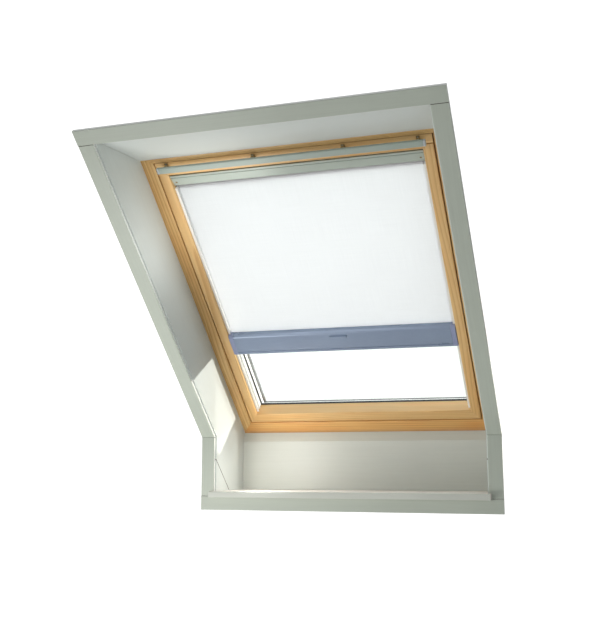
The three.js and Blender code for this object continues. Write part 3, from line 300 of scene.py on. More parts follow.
# open joints where boards meet: the way across them, half their width, and their places along that way
up_slope = (0.0, -math.cos(roof_pitch), math.sin(roof_pitch))
lining_joint = through_roof, 0.0012, [0.0890]
joints_of = {
    "side_lining": lining_joint,
    "corner_filler": lining_joint,
    "slope": (up_slope, 0.0004, [0.1271, 1.0676]),
    "wall": ((0.0, 0.0, 1.0), 0.0004, [0.1809, 0.0194]),
}
joint_dirt = (0.12, 0.11, 0.09)
for turn, names in boards.items():
    for i, name in enumerate(names.split()):
        paint, tree, shader = material("paint_" + name)
        key = "architrave" if name.startswith("architrave") else name
        face_paint_and_light, edge_paint_and_highlight = paint_and_painted_light_of.get(key, (lining_paint, lining_paint))
        place = add(tree, "TexCoord").outputs
        front = through_roof if turn == ALONG_SLOPE or name == "architrave_top" else (0.0, 1.0, 0.0)
        facing = number(tree, "ABSOLUTE", along_way(tree, place["Normal"], front))
        # the narrow edges are where the surface turns over 60 degrees from the board's face; their tone is a
        # painted highlight on the architrave and painted light on the sill's top
        edge = number(tree, "LESS_THAN", facing, 0.5)
        shades = [mix(tree, edge, *tones) for tones in zip(face_paint_and_light, edge_paint_and_highlight)]
        for ending, (way, half, joint_places) in joints_of.items():
            if name.endswith(ending):
                across = along_way(tree, place["Object"], way)
                marks = [number(tree, "COMPARE", across, at, half) for at in joint_places]
                joint = number(tree, "MAXIMUM", marks[0], marks[-1])
                shades = [mix(tree, joint, shade, joint_dirt) for shade in shades]
        light, dark = shades
        along = grain_space(tree, turn, (0.37 * i, 0.21 * i, 0.53 * i))
        tones = dict(Light=light, Dark=dark)
        apply_effect(tree, shader, brushed_paint, bump=0.00006, Vector=along, Gloss=0.42, **tones)
        set_finish(paint, name)


# Pine frame and sash. Laminated pine rails and stiles, mitred at the corners and dipped in a clear
# satin varnish, with the ventilation flap cut from the same wood.
def ramp(tree, factor, stops):
    """A grey ramp on factor. stops are (place, grey value) in rising order."""
    node = add(tree, "ValToRGB", {0: factor})
    for i, (place, value) in enumerate(stops):
        element = node.color_ramp.elements[i] if i < 2 else node.color_ramp.elements.new(place)
        element.position = place
        element.color = (value, value, value, 1)
    return node.outputs[0]


pine_grain, given = effect(
    "pine_grain",
    {
        "Early wood": ("Color", (0.72, 0.47, 0.22, 1)),
        "Warm wood": ("Color", (0.74, 0.40, 0.15, 1)),
        "Late wood": ("Color", (0.47, 0.25, 0.09, 1)),
        "Ring width": ("Float", 0.0042),
    },
)
# year rings are circles about the heart, which lies beside the board and drifts along it
heart_distance, heart_drift = 0.071, 0.03
drift = noise(pine_grain, scaled(pine_grain, given["Vector"], (9.0, 9.0, 1.3)), roughness=0.4)
parts = add(pine_grain, "SeparateXYZ", {0: given["Vector"]}).outputs
side = number(pine_grain, "ADD", parts["X"], heart_distance)
deep = number(pine_grain, "ADD", parts["Y"], number(pine_grain, "MULTIPLY", drift, heart_drift))
level = add(pine_grain, "CombineXYZ", {"X": side, "Y": deep}).outputs[0]
radius = add(pine_grain, "VectorMath", {0: level}, operation="LENGTH").outputs["Value"]
ring = number(pine_grain, "FRACT", number(pine_grain, "DIVIDE", radius, given["Ring width"]))
year = ramp(pine_grain, ring, [(0.0, 0.0), (0.5, 0.15), (0.82, 0.8), (0.94, 1.0), (1.0, 0.0)])
fibres = noise(pine_grain, scaled(pine_grain, given["Vector"], (1100.0, 1100.0, 16.0)), detail=4.0)
bands = noise(pine_grain, scaled(pine_grain, given["Vector"], (55.0, 55.0, 1.6)))
clouds = noise(pine_grain, scaled(pine_grain, given["Vector"], (34.0, 34.0, 6.5)), detail=1.5)
wood = number(pine_grain, "MULTIPLY", year, 0.58)
wood = number(pine_grain, "MULTIPLY_ADD", fibres, 0.34, wood)
wood = number(pine_grain, "MULTIPLY_ADD", bands, 0.75, wood)
wood = spread(pine_grain, wood, 0.35, 1.2)
warmth = spread(pine_grain, clouds, 0.42, 0.72)
pale = mix(pine_grain, warmth, given["Early wood"], given["Warm wood"])
put_out(
    pine_grain,
    colour=mix(pine_grain, wood, pale, given["Late wood"]),
    roughness=spread(pine_grain, fibres, 0.0, 1.0, 0.38, 0.55),
    height=wood,
)

timbers = (
    "frame_head frame_bottom_rail frame_left_stile frame_right_stile "
    "sash_top_rail sash_bottom_rail sash_left_stile sash_right_stile vent_flap"
)
# early, warm and late wood: the frame's bottom rail has redder wood, which paints in the warm light that
# falls on it, and the sash is cut from paler boards
wood_of = {
    "frame": ((0.80, 0.55, 0.235), (0.80, 0.46, 0.17), (0.55, 0.29, 0.085)),
    "frame_bottom_rail": ((0.79, 0.475, 0.165), (0.80, 0.39, 0.115), (0.56, 0.26, 0.07)),
    "sash": ((0.80, 0.54, 0.24), (0.82, 0.49, 0.19), (0.60, 0.34, 0.12)),
}
for i, name in enumerate(timbers.split()):
    pine, tree, shader = material("pine_" + name, Coat_Weight=0.2, Coat_Roughness=0.22)
    early, warm, late = wood_of.get(name) or wood_of["frame" if name.startswith("frame") else "sash"]
    turn = ALONG_SLOPE if name.endswith("stile") else ACROSS
    along = grain_space(tree, turn, (0.013 * i, 0.17 * i, 0.41 * i))
    woods = dict(Early_wood=early, Warm_wood=warm, Late_wood=late)
    ring_width = 0.0036 + 0.0004 * (i % 3)
    apply_effect(tree, shader, pine_grain, bump=0.00008, Vector=along, Ring_width=ring_width, **woods)
    set_finish(pine, name)


# Metalwork. Pivot plates and arms, striker, lock and hinge rod are zinc-plated steel. The outside covers
# and claddings are folded aluminium with a dark grey coat, and the blind's tube is plain aluminium.
worked_metal, given = effect(
    "worked_metal",
    {
        "Light": ("Color", (0.6, 0.6, 0.6, 1)),
        "Dark": ("Color", (0.5, 0.5, 0.5, 1)),
        "Polish": ("Float", 0.3),
        "Grit": ("Float", 300.0),
        "Stretch": ("Vector", (1.0, 1.0, 1.0)),
    },
)
drawn = add(worked_metal, "VectorMath", {0: given["Vector"], 1: given["Stretch"]}, operation="MULTIPLY")
grit = noise(worked_metal, drawn.outputs[0], scale=given["Grit"], detail=3.0)
smudge = noise(worked_metal, given["Vector"], scale=11.0, detail=4.0, roughness=0.6)
cloudy = spread(worked_metal, number(worked_metal, "ADD", grit, smudge), 0.7, 1.3)
put_out(
    worked_metal,
    colour=mix(worked_metal, cloudy, given["Dark"], given["Light"]),
    roughness=number(worked_metal, "MULTIPLY_ADD", smudge, 0.22, given["Polish"]),
    height=grit,
)


def smooth_finish(name, light, dark, polish, grit, bump, stretch=(1.0, 1.0, 1.0), **constants):
    """A material for metal, a coat, rubber or moulded plastic, by the worked_metal effect on Object
    coordinates. grit is how fine its grain is, and stretch draws the grain out."""
    made, tree, shader = material(name, **constants)
    place = add(tree, "TexCoord").outputs["Object"]
    look = dict(Vector=place, Light=light, Dark=dark, Polish=polish, Grit=grit, Stretch=stretch)
    apply_effect(tree, shader, worked_metal, bump, **look)
    return made


zinc = smooth_finish(
    "zinc_plated_steel",
    light=(0.62, 0.62, 0.60),
    dark=(0.45, 0.46, 0.46),
    polish=0.22,
    grit=240.0,
    bump=0.00004,
    Metallic=0.9,
)
dark_coat = smooth_finish(
    "coated_aluminium",
    light=(0.15, 0.155, 0.16),
    dark=(0.11, 0.115, 0.12),
    polish=0.32,
    grit=1500.0,
    bump=0.00003,
    Metallic=0.25,
)
plain_aluminium = smooth_finish(
    "plain_aluminium",
    light=(0.70, 0.71, 0.72),
    dark=(0.58, 0.59, 0.60),
    polish=0.25,
    grit=400.0,
    bump=0.00002,
    Metallic=0.85,
)
set_finish(zinc, "left_pivot_plate right_pivot_plate left_pivot_arm right_pivot_arm")
set_finish(zinc, "striker_plate lock_case lock_bolt flap_hinge_rod")
set_finish(dark_coat, "frame_head_cover frame_left_cover frame_right_cover frame_bottom_cover")
set_finish(dark_coat, "sash_top_cladding sash_left_cladding sash_right_cladding sash_bottom_cladding")
set_finish(plain_aluminium, "roller_tube")


# Glazing. Two panes of clear float glass, held apart by a white-lacquered spacer and bedded on a ring of
# black rubber that shows as a dark line round the view. The panes let lamplight straight through.
for name in ("inner_pane", "outer_pane"):
    glass, tree, shader = material(
        "glass_" + name, Transmission_Weight=1.0, Roughness=0.0, IOR=1.5, Base_Color=(0.97, 1.0, 0.985, 1)
    )
    clear = add(tree, "BsdfTransparent", {"Color": (0.98, 0.99, 0.985)})
    shadow = add(tree, "LightPath").outputs["Is Shadow Ray"]
    either = add(tree, "MixShader", {0: shadow, 1: shader.outputs[0], 2: clear.outputs[0]})
    surface = next(n for n in tree.nodes if n.type == "OUTPUT_MATERIAL").inputs["Surface"]
    tree.links.new(either.outputs[0], surface)
    set_finish(glass, name)

spacer_white = smooth_finish(
    "white_spacer",
    light=(0.92, 0.92, 0.91),
    dark=(0.87, 0.87, 0.86),
    polish=0.35,
    grit=600.0,
    bump=0.00002,
    Metallic=0.0,
)
rubber = smooth_finish(
    "gasket_rubber",
    light=(0.045, 0.046, 0.044),
    dark=(0.022, 0.022, 0.022),
    polish=0.5,
    grit=900.0,
    bump=0.00004,
    Specular_IOR_Level=0.4,
)
set_finish(spacer_white, "spacer_frame")
set_finish(rubber, "glazing_gasket")


# Flap control bar. A drawn aluminium tube with rounded corners, satin anodised, closed by two pressed
# caps and held in front of the flap by four olive tan plastic brackets that are screwed to the wood.
# millimetres: the line where ceiling meets wall
kink_y, kink_z = -8.0, 181.0


def on_slope(across, out, along):
    """Places in metres from millimetres across the window, out through the roof from the architrave's
    face, and up along the slope from the line where ceiling meets wall: out and along, turned by the
    roof's pitch about that line."""
    y = kink_y + out * math.sin(roof_pitch) - along * math.cos(roof_pitch)
    z = kink_z + along * math.sin(roof_pitch) + out * math.cos(roof_pitch)
    return np.stack(np.broadcast_arrays(across, y, z), axis=-1) / 1000


def rounded(corners, steps=6):
    """The outline through corners (out, along, radius): at each, an arc that touches both sides. Its
    centre lies on the corner's bisector, at radius over the sine of half the corner's angle."""
    corners = [(*corner, 0.0)[:3] for corner in corners]
    points = []
    for i, (x, y, radius) in enumerate(corners):
        here = np.array([x, y])
        if not radius:
            points.append(here[None])
            continue
        back = np.array(corners[i - 1][:2]) - here
        ahead = np.array(corners[(i + 1) % len(corners)][:2]) - here
        back, ahead = back / np.linalg.norm(back), ahead / np.linalg.norm(ahead)
        half = math.acos(np.clip(back @ ahead, -1, 1)) / 2
        middle = (back + ahead) / np.linalg.norm(back + ahead)
        centre = here + middle * radius / math.sin(half)
        sweep = np.linspace(-1, 1, steps + 1)[:, None] * (math.pi / 2 - half)
        turn = 1 if back[0] * ahead[1] - back[1] * ahead[0] > 0 else -1
        across = np.array([-middle[1], middle[0]]) * turn
        points.append(centre + radius * (-middle * np.cos(sweep) + across * np.sin(sweep)))
    return np.concatenate(points)


def show(name, vertices, faces, made_of, body, slot, sharp=32.0):
    """A mesh object from its vertices and faces, smooth up to the sharp angle, which rides on body unless
    that is None."""
    mesh = bpy.data.meshes.new(name)
    mesh.from_pydata(vertices.reshape(-1, 3).tolist(), [], [list(map(int, face)) for face in faces])
    mesh.update()
    mesh.shade_smooth()
    mesh.set_sharp_from_angle(angle=math.radians(sharp))
    mesh.materials.append(made_of)
    piece = bpy.data.objects.new(name, mesh)
    bpy.context.scene.collection.objects.link(piece)
    if body:
        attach(piece, body)
    return piece


def grid_faces(rows, columns, closed_rows=False):
    """The quads of a grid of rows by columns of vertices; closed_rows joins the last row to the first."""
    strips = rows if closed_rows else rows - 1
    row, column = np.meshgrid(np.arange(strips), np.arange(columns - 1), indexing="ij")
    here, after = row * columns + column, (row + 1) % rows * columns + column
    return np.stack([here, after, after + 1, here + 1], axis=-1).reshape(-1, 4)


def carried_across(outline, stations, up=False):
    """A closed outline of (out, along) carried across the window through stations (across, inset). At
    each it is drawn in by inset square to its own sides, and flat ends close it. With up, the outline is
    of (across, out) and is carried up along the slope. Gives vertices, faces."""
    ahead = np.roll(outline, -1, axis=0) - outline
    ahead /= np.linalg.norm(ahead, axis=1, keepdims=True)
    area = np.sum(outline[:, 0] * np.roll(outline[:, 1], -1) - np.roll(outline[:, 0], -1) * outline[:, 1])
    square = np.stack([ahead[:, 1], -ahead[:, 0]], axis=1) * np.sign(area)
    corner = square + np.roll(square, 1, axis=0)
    corner *= 2 / np.maximum(np.sum(corner**2, axis=1, keepdims=True), 0.5)
    insets = np.array([inset for _, inset in stations])
    drawn = outline[:, None, :] - corner[:, None, :] * insets[None, :, None]
    carried = np.broadcast_to(np.array([place for place, _ in stations]), drawn.shape[:2])
    if up:
        vertices = on_slope(drawn[..., 0], drawn[..., 1], carried)
    else:
        vertices = on_slope(carried, drawn[..., 0], drawn[..., 1])
    rows, columns = drawn.shape[:2]
    faces = grid_faces(rows, columns, closed_rows=True)
    ends = np.arange(rows) * columns
    if area < 0:
        faces = faces[:, ::-1]
        return vertices, [*faces, ends[::-1], (ends + columns - 1)]
    return vertices, [*faces, ends, (ends + columns - 1)[::-1]]


def eased(start, end, ease):
    """Stations from start to end whose last ease millimetres round over along a quarter circle, in three
    steps."""
    turn = np.array([0.0, 0.3, 0.65, 1.0]) * math.pi / 2
    inset = ease * (1 - np.sin(turn))
    way = ease * (1 - np.cos(turn)) * (1 if end > start else -1)
    first = [(start + w, e) for w, e in zip(way, inset)]
    return first + [(end - w, e) for w, e in zip(way[::-1], inset[::-1])]


def joined(*parts):
    """Several (vertices, faces) as one."""
    vertices, faces, count = [], [], 0
    for points, polygons in parts:
        points = points.reshape(-1, 3)
        vertices.append(points)
        faces += [np.asarray(face) + count for face in polygons]
        count += len(points)
    return np.concatenate(vertices), faces


anodised = smooth_finish(
    "satin_anodised_aluminium",
    light=(0.385, 0.44, 0.395),
    dark=(0.37, 0.43, 0.38),
    polish=0.42,
    grit=900.0,
    bump=0.00003,
    stretch=(0.02, 1.0, 1.0),
    Metallic=0.1,
)
cap_grey = smooth_finish(
    "grey_cap_plastic",
    light=(0.50, 0.53, 0.53),
    dark=(0.45, 0.48, 0.48),
    polish=0.34,
    grit=1400.0,
    bump=0.00003,
    Specular_IOR_Level=0.45,
)
bracket_tan = smooth_finish(
    "bracket_plastic",
    light=(0.36, 0.26, 0.115),
    dark=(0.28, 0.195, 0.085),
    polish=0.36,
    grit=700.0,
    bump=0.00005,
    Specular_IOR_Level=0.4,
)
bar_front, bar_rear, bar_low, bar_high, bar_round = 138.3, 147.3, 772.2, 787.9, 2.2
bar_half, tube_round = 323.0, 0.25
cap_gap, cap_length, cap_round = 0.3, 6.0, 1.2
bar_corners = (bar_front, bar_low), (bar_rear, bar_low), (bar_rear, bar_high), (bar_front, bar_high)
bar_section = rounded([(*corner, bar_round) for corner in bar_corners])
tube = carried_across(bar_section, eased(-bar_half, bar_half, tube_round))
control_bar = show("control_bar_tube", *tube, anodised, "vent_flap", "control_bar")
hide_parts("control_bar")
cap_start = bar_half + cap_gap
for side, sign in (("left", -1), ("right", 1)):
    stations = eased(sign * cap_start, sign * (cap_start + cap_length), cap_round)[::sign]
    piece = show(f"bar_{side}_end", *carried_across(bar_section, stations), cap_grey, "vent_flap", "bar_cap")
    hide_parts(f"bar_{side}_cap")
set_finish(bracket_tan, "bar_bracket_1 bar_bracket_2 bar_bracket_3 bar_bracket_4")


# Roller blind, its cassette. An extruded aluminium shell, coated grey-green, which hides the roller, with a
# thin upstand on its top edge, and a moulded end plate on either side. The slim side channels are white.
cassette_coat = smooth_finish(
    "cassette_coating",
    light=(0.44, 0.49, 0.435),
    dark=(0.44, 0.495, 0.435),
    polish=0.28,
    grit=1100.0,
    bump=0.00002,
    stretch=(0.05, 1.0, 1.0),
    Metallic=0.1,
)
shell_wall, shell_round = 1.3, 1.3
shell_back, shell_top, shell_foot = 207.0, 741.4, 710.6
brow_out, brow_drop = 168.4, 1.2
apron_out, apron_foot = 176.0, 716.6
return_out = 183.3
shell_half = 313.0
upstand_half, upstand_top, upstand_round = 315.6, 749.0, 0.4
shell = rounded(
    [
        (brow_out + 1.5, shell_top),
        (brow_out, shell_top - brow_drop, 0.4),
        (apron_out, apron_foot, 0.6),
        (apron_out + shell_wall, apron_foot),
        (brow_out + 1.8, shell_top - 2.4),
        (brow_out + 2.9, shell_top - shell_wall),
        (shell_back - shell_wall, shell_top - shell_wall),
        (shell_back - shell_wall, shell_foot + shell_wall),
        (return_out, shell_foot + shell_wall),
        (return_out, shell_foot),
        (shell_back, shell_foot, shell_round),
        (shell_back, shell_top, shell_round),
    ]
)
upstand = rounded(
    [
        (brow_out - 2.8, upstand_top, 0.6),
        (brow_out - 1.0, shell_top + 1.5, 0.3),
        (brow_out + 1.5, shell_top + 1.2),
        (brow_out + 1.5, shell_top),
        (brow_out + 3.2, shell_top),
        (brow_out + 0.8, upstand_top, 0.6),
    ]
)
shell = carried_across(shell, [(-shell_half, 0), (shell_half, 0)])
upstand = carried_across(upstand, eased(-upstand_half, upstand_half, upstand_round))
cassette = show("cassette_shell", *joined(shell, upstand), cassette_coat, "sash", "cassette")
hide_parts("blind_cassette")
set_finish(cassette_coat, "cassette_left_cap cassette_right_cap")

channel_white = smooth_finish(
    "channel_lacquer",
    light=(0.86, 0.86, 0.83),
    dark=(0.82, 0.82, 0.79),
    polish=0.25,
    grit=1200.0,
    bump=0.00002,
    Metallic=0.0,
)
set_finish(channel_white, "left_side_channel right_side_channel")


# Rubber lip and side liners. The gasket's soft lip lies in the corner between glass and sash, and behind
# the blind's channels the stiles are lined with thin white-lacquered strips, whose white also paints in the
# bright light on the wood.
glass_face, daylight_half = 214.2, 315.9
sight_foot, sight_top = -79.3, 752.8
lip_runs = []
for sign in (-1, 1):
    lip = [
        (sign * daylight_half, glass_face - 5.4),
        (sign * daylight_half, glass_face),
        (sign * (daylight_half - 3.1), glass_face),
        (sign * (daylight_half - 1.3), glass_face - 2.6, 1.5),
    ]
    run = [(sight_foot + 2.3, 0), (sight_top - 1.8, 0)]
    lip_runs.append(carried_across(rounded(lip[::sign]), run, up=True))
foot_lip = [
    (glass_face, sight_foot),
    (glass_face - 6.6, sight_foot + 0.9),
    (glass_face - 3.4, sight_foot + 1.3, 1.5),
    (glass_face, sight_foot + 2.0),
]
head_lip = [
    (glass_face, sight_top),
    (glass_face, sight_top - 2.4),
    (glass_face - 2.8, sight_top - 1.4, 1.5),
    (glass_face - 5.2, sight_top),
]
liner_half = daylight_half - 0.1
run = [(-liner_half, 0), (liner_half, 0)]
lip_runs += [carried_across(rounded(lip), run) for lip in (foot_lip, head_lip)]
show("gasket_lip", *joined(*lip_runs), rubber, "sash", "gasket")

liner_front, liner_back, liner_thickness = 187.8, 208.4, 0.6
liner_foot, liner_top, liner_round = -76.0, 710.0, 0.1
# each strip is white lacquer and also paints in the bright light that falls on the stile's inner face
for side, sign in (("left", -1), ("right", 1)):
    outer, inner = sign * liner_half, sign * (liner_half - liner_thickness)
    liner = [(outer, liner_front), (outer, liner_back), (inner, liner_back), (inner, liner_front)]
    strip = carried_across(np.array(liner[::sign]), eased(liner_foot, liner_top, liner_round), up=True)
    show(f"{side}_white_liner_and_painted_light", *strip, channel_white, "sash", "channel")


# Screws. Small pan-head screws with a cross recess hold brackets, cassette and outside covers. Those of
# the cassette are coated as the brackets are, and the rest are zinc-plated.
def pan_heads(places, way, radius):
    """Pan heads at places (across, out, along), facing way, which is given in those directions too. Each is
    a round cap whose height falls by the square of the distance from its middle, with two crossed slots
    sunk into it. Gives vertices, faces."""
    # shares of the radius
    crown, crown_fall, slot_depth, slot_half, slot_reach = 0.42, 0.55, 0.3, 0.13, 0.56
    rings, spokes = 13, 32
    way = np.array(way, float) / np.linalg.norm(way)
    first = np.cross(way, (0.0, 0.0, 1.0) if abs(way[2]) < 0.9 else (1.0, 0.0, 0.0))
    first /= np.linalg.norm(first)
    second = np.cross(way, first)
    ring = np.linspace(1.0, 0.0, rings)[:, None]
    turn = np.linspace(0, 2 * np.pi, spokes + 1)[None, :-1]
    a, b = ring * np.cos(turn), ring * np.sin(turn)
    slot = (np.minimum(abs(a), abs(b)) < slot_half) & (np.maximum(abs(a), abs(b)) < slot_reach)
    height = crown * (1 - crown_fall * ring**2) - slot_depth * slot
    height = np.concatenate([np.zeros((1, spokes)), height])
    a, b = (np.concatenate([grid[:1], grid]) for grid in (a, b))
    index = np.arange(height.size).reshape(height.shape)
    after = np.roll(index, -1, axis=1)
    quads = np.stack([index[:-1], after[:-1], after[1:], index[1:]], axis=-1).reshape(-1, 4)
    head = radius * (a[..., None] * first + b[..., None] * second + height[..., None] * way)
    spots = [np.array(place) + head for place in places]
    faces = [*quads, index[0][::-1]]
    return joined(*((on_slope(*np.moveaxis(spot, -1, 0)), faces) for spot in spots))


apron_screws = [(sign * 306.0, 172.55, 727.2) for sign in (-1, 1)]
cassette_screws = pan_heads(apron_screws, way=(0.0, -0.952, -0.307), radius=2.6)
show("cassette_screws", *cassette_screws, bracket_tan, "sash", "bracket")
bracket_middles = -310.1, -84.9, 135.7, 310.1
bracket_places = [(across, 159.9, 785.6) for across in bracket_middles]
bracket_screws = pan_heads(bracket_places, way=(0.0, -1.0, 0.0), radius=1.7)
show("bracket_screws", *bracket_screws, zinc, "vent_flap", "steel")
cover_half, cover_middle, screw_row = 372.5, 236.0, (-120, 120, 400, 620, 750)
for side, sign in (("left", -1), ("right", 1)):
    row = [(sign * cover_half, cover_middle, along) for along in screw_row]
    heads = pan_heads(row, way=(sign, 0.0, 0.0), radius=3.2)
    show(f"{side}_cover_screws", *heads, zinc, "window_frame", "steel")


# Roller blind, its cloth. A plain-woven polyester, coated white, that lets some daylight through. It hangs
# from the roller to the bar, whose slot holds its foot, and what is left is wound on the tube.
weave, given = effect(
    "plain_weave",
    {
        "Pitch": ("Float", 0.0009),
        "Light": ("Color", (0.9, 0.92, 0.94, 1)),
        "Dark": ("Color", (0.85, 0.87, 0.89, 1)),
    },
)
# warp and weft pass over each other as the product of two sines does, and both have thicker stretches
per_metre = number(weave, "DIVIDE", math.pi, given["Pitch"])
counted = add(weave, "VectorMath", {0: given["Vector"], "Scale": per_metre}, operation="SCALE").outputs[0]
parts = add(weave, "SeparateXYZ", {0: counted}).outputs
over = number(weave, "MULTIPLY", number(weave, "SINE", parts["X"]), number(weave, "SINE", parts["Y"]))
slubs = [noise(weave, scaled(weave, given["Vector"], way)) for way in ((700.0, 9.0, 1.0), (9.0, 700.0, 1.0))]
slub = number(weave, "ADD", *slubs)
tone = spread(weave, number(weave, "MULTIPLY_ADD", over, 0.12, slub), 0.7, 1.3)
put_out(
    weave,
    colour=mix(weave, tone, given["Dark"], given["Light"]),
    roughness=spread(weave, slub, 0.0, 1.0, 0.75, 0.92),
    height=number(weave, "MULTIPLY_ADD", over, 0.5, slub),
)
cloth, tree, shader = material("blind_cloth", Roughness=0.85, Sheen_Weight=0.12, Specular_IOR_Level=0.25)
threads = add(tree, "UVMap", uv_map="UVMap").outputs[0]
tones = dict(Light=(0.925, 0.92, 0.925), Dark=(0.885, 0.88, 0.885))
woven = apply_effect(tree, shader, weave, bump=0.00006, Vector=threads, Pitch=0.0008, **tones)
let_through = 0.86
daylight = add(tree, "BsdfTranslucent", {"Color": woven.outputs["Color"]})
half_clear = add(tree, "MixShader", {0: let_through, 1: shader.outputs[0], 2: daylight.outputs[0]})
surface = next(n for n in tree.nodes if n.type == "OUTPUT_MATERIAL").inputs["Surface"]
tree.links.new(half_clear.outputs[0], surface)

cloth_width, cloth_thickness = 623.0, 0.0003


def cloth_piece(name, vertices, lengths):
    """A grid of cloth, rows along its length and columns across, with a UV map in metres of cloth: the
    column's share of the width, and the row's length, which is given in millimetres."""
    rows, columns = vertices.shape[:2]
    piece = show(name, vertices, grid_faces(rows, columns), cloth, None, "blind_fabric", sharp=180)
    uv = piece.data.uv_layers.new(name="UVMap")
    across = np.linspace(0, cloth_width / 1000, columns)
    places = np.stack(np.broadcast_arrays(across[None, :], lengths[:, None] / 1000), axis=-1).reshape(-1, 2)
    loops = np.zeros(len(piece.data.loops), int)
    piece.data.loops.foreach_get("vertex_index", loops)
    uv.data.foreach_set("uv", places[loops].ravel())
    body = piece.modifiers.new("thickness", "SOLIDIFY")
    body.thickness, body.offset = cloth_thickness, 0
    return piece


cloth_out = 179.2
hang_top, hang_foot = 720.0, 208.0
way_down = np.linspace(hang_top, hang_foot, 161)
way_across = np.linspace(-cloth_width / 2, cloth_width / 2, 97)
along, across = np.meshgrid(way_down, way_across, indexing="ij")
# the cloth bellies by fractions of a millimetre between its edges, in slow waves along and across
belly, held_top, held_foot, easing = 0.55, 14.0, 32.0, 90.0
free = np.clip((hang_top - along - held_top) / easing, 0, 1)
free = free * np.clip((along - hang_foot - held_foot) / easing, 0, 1)
free = free * np.cos(np.pi * across / cloth_width) ** 0.5
waves = 0.5 * np.sin(across / 61 + 1.1 * np.sin(along / 173)) + 0.35 * np.sin(along / 47 + across / 230)
waves = waves + 0.25 * np.sin(across / 23 + along / 95)
sheet = on_slope(across, cloth_out + free * waves * belly, along)
hanging = cloth_piece("hanging_cloth", sheet, hang_top - way_down)
# two places in the cloth's plane, 796.2 and 84.2 millimetres up the slope and past both its ends, are worked
# out and not used
tuple(on_slope(0.0, cloth_out, 796.2))
tuple(on_slope(0.0, cloth_out, 84.2))
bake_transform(hanging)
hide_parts("blind_fabric")
# the two beams pass over cloth, panes and the sash's bottom rail, the sky lamp over that rail, and the
# corner lamp over the cloth
rail = nodes["sash_bottom_rail"]
panes = nodes["inner_pane"], nodes["outer_pane"]
for lamps, pieces in (
    (("low_window_lamp", "high_window_lamp"), (hanging, rail, *panes)),
    (("sky_lamp",), (rail,)),
    (("corner_lamp",), (hanging,)),
):
    passed_over = bpy.data.collections.new("passed_over_by_" + lamps[0])
    for piece in pieces:
        passed_over.objects.link(piece)
    for entry in passed_over.collection_objects:
        entry.light_linking.link_state = "EXCLUDE"
    for name in lamps:
        bpy.data.objects[name].light_linking.receiver_collection = passed_over

roller_out, roller_along = 191.0, 726.0
lead_foot, lead_behind = 706.0, 0.5
lead_way = np.linspace(roller_along, lead_foot, 5)
along, across = np.meshgrid(lead_way, way_across[::8], indexing="ij")
sheet = on_slope(across, cloth_out + lead_behind, along)
lead = cloth_piece("cloth_off_roller", sheet, roller_along - lead_way)
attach(lead, "sash")

# what is wound on the tube is a spiral that grows by the same amount with each turn and ends at the lead
wraps, first_wrap, wrap_growth = 4.75, 9.45, 0.43
turn = np.linspace(0, wraps * 2 * np.pi, 190)
wind = first_wrap + wrap_growth * turn / (2 * np.pi)
length = np.concatenate([[0], np.cumsum(np.diff(turn) * (wind[1:] + wind[:-1]) / 2)])
angle = turn - turn[-1] + np.pi
spiral = (roller_out + wind * np.cos(angle))[:, None], (roller_along + wind * np.sin(angle))[:, None]
wound = cloth_piece("wound_cloth", on_slope(way_across[None, ::12], *spiral), length)
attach(wound, "roller")
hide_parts("fabric_roll")


# Roller blind, its bar. A hollow aluminium extrusion, coated blue-grey, with a sloped shoulder, a line above
# its lower lip and a slot in its top for the cloth, a pull grip in the middle and moulded ends.
bar_coat = smooth_finish(
    "bar_coating",
    light=(0.27, 0.335, 0.455),
    dark=(0.24, 0.30, 0.415),
    polish=0.2,
    grit=1000.0,
    bump=0.00002,
    stretch=(0.05, 1.0, 1.0),
    Metallic=0.15,
)
end_plastic = smooth_finish(
    "bar_end_plastic",
    light=(0.30, 0.335, 0.50),
    dark=(0.265, 0.30, 0.46),
    polish=0.34,
    grit=1500.0,
    bump=0.00003,
    Specular_IOR_Level=0.45,
)
face, back, foot, top = 161.0, 188.0, 165.0, 233.5
edge_round, slot_round = 1.6, 0.3
slot_half, slot_floor = 1.0, 204.0
groove_foot, groove_top, groove_depth = 172.8, 174.8, 1.6
brow, shoulder = (167.5, top, 3.5), (face, 227.0, 9.0)
bar_outline = rounded(
    [
        (back, foot, edge_round),
        (back, top, edge_round),
        (cloth_out + slot_half, top, slot_round),
        (cloth_out + slot_half, slot_floor),
        (cloth_out - slot_half, slot_floor),
        (cloth_out - slot_half, top, slot_round),
        brow,
        shoulder,
        (face, groove_top, slot_round),
        (face + groove_depth, groove_top - 0.4),
        (face + groove_depth, groove_foot + 0.4),
        (face, groove_foot, slot_round),
        (face, foot, edge_round),
    ]
)
grip_foot, grip_top, grip_out, grip_half = 210.5, 218.5, 156.0, 24.0
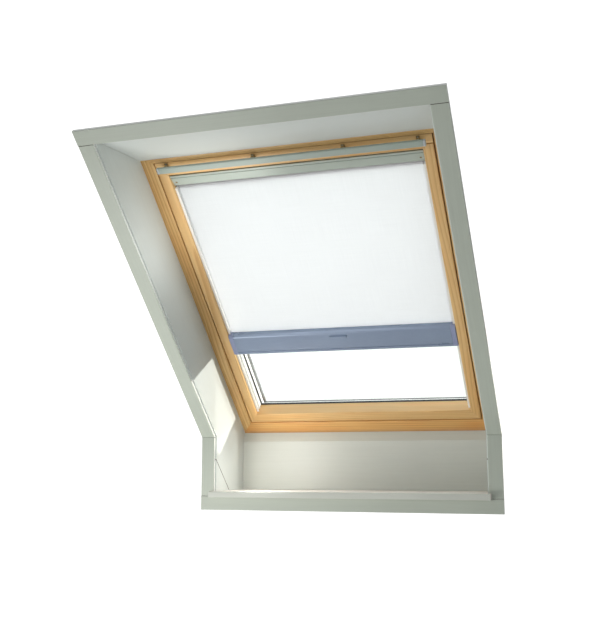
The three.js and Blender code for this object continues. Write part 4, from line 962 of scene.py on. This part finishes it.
grip_outline = rounded(
    [
        (face + 1.2, grip_foot),
        (face + 1.2, grip_top),
        (grip_out, grip_top, 0.9),
        (grip_out, grip_top - 3.3, 1.2),
        (grip_out + 2.6, grip_top - 4.6, 2.0),
    ]
)
section_half = 302.7
bar_body = carried_across(bar_outline, [(-section_half, 0), (section_half, 0)])
grip = carried_across(grip_outline, eased(-grip_half, grip_half, 1.1))
bar = show("blind_bar_section", *joined(bar_body, grip), bar_coat, "blind_bar", "blind_bar")
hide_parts("blind_bar")

# each end is a block that closes the section, and a wing and a tongue that run in the side channel
wing_depth, tongue_half = 9.8, 3.0
end_corners = [(back, foot, edge_round), (back, top, edge_round), brow, shoulder, (face, foot, edge_round)]
end_outline = rounded(end_corners)
wing_outline = rounded(
    [
        (face, foot, edge_round),
        (face + wing_depth, foot, 0.8),
        (face + wing_depth, top - 0.3, 0.5),
        (brow[0] - 0.5, top - 0.5, 2.5),
        shoulder,
    ]
)
tongue_outline = rounded(
    [
        (cloth_out - tongue_half, foot, 1.0),
        (cloth_out + tongue_half, foot, 1.0),
        (cloth_out + tongue_half, top - 0.5, 1.0),
        (cloth_out - tongue_half, top - 0.5, 1.0),
    ]
)
block_start, block_end, run_start, wing_end, tongue_end = 303.0, 309.4, 308.6, 315.4, 314.2
for side, sign in (("left", -1), ("right", 1)):
    block = carried_across(end_outline, eased(sign * block_start, sign * block_end, 0.5)[::sign])
    wing = carried_across(wing_outline, eased(sign * run_start, sign * wing_end, 1.0)[::sign])
    tongue = carried_across(tongue_outline, eased(sign * run_start, sign * tongue_end, 0.6)[::sign])
    end = joined(block, wing, tongue)
    piece = show(f"blind_bar_{side}_end", *end, end_plastic, "blind_bar", "blind_bar_cap")
    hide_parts(f"blind_bar_{side}_cap")


# Floor finish. The studio's floor is one flat board, rolled with a matt pale paint that is a little
# cloudy.
matt_floor = smooth_finish(
    "matt_floor",
    light=(0.82, 0.82, 0.81),
    dark=(0.80, 0.80, 0.79),
    polish=0.7,
    grit=60.0,
    bump=0.0002,
    Specular_IOR_Level=0.2,
)
floor_mesh.materials.append(matt_floor)
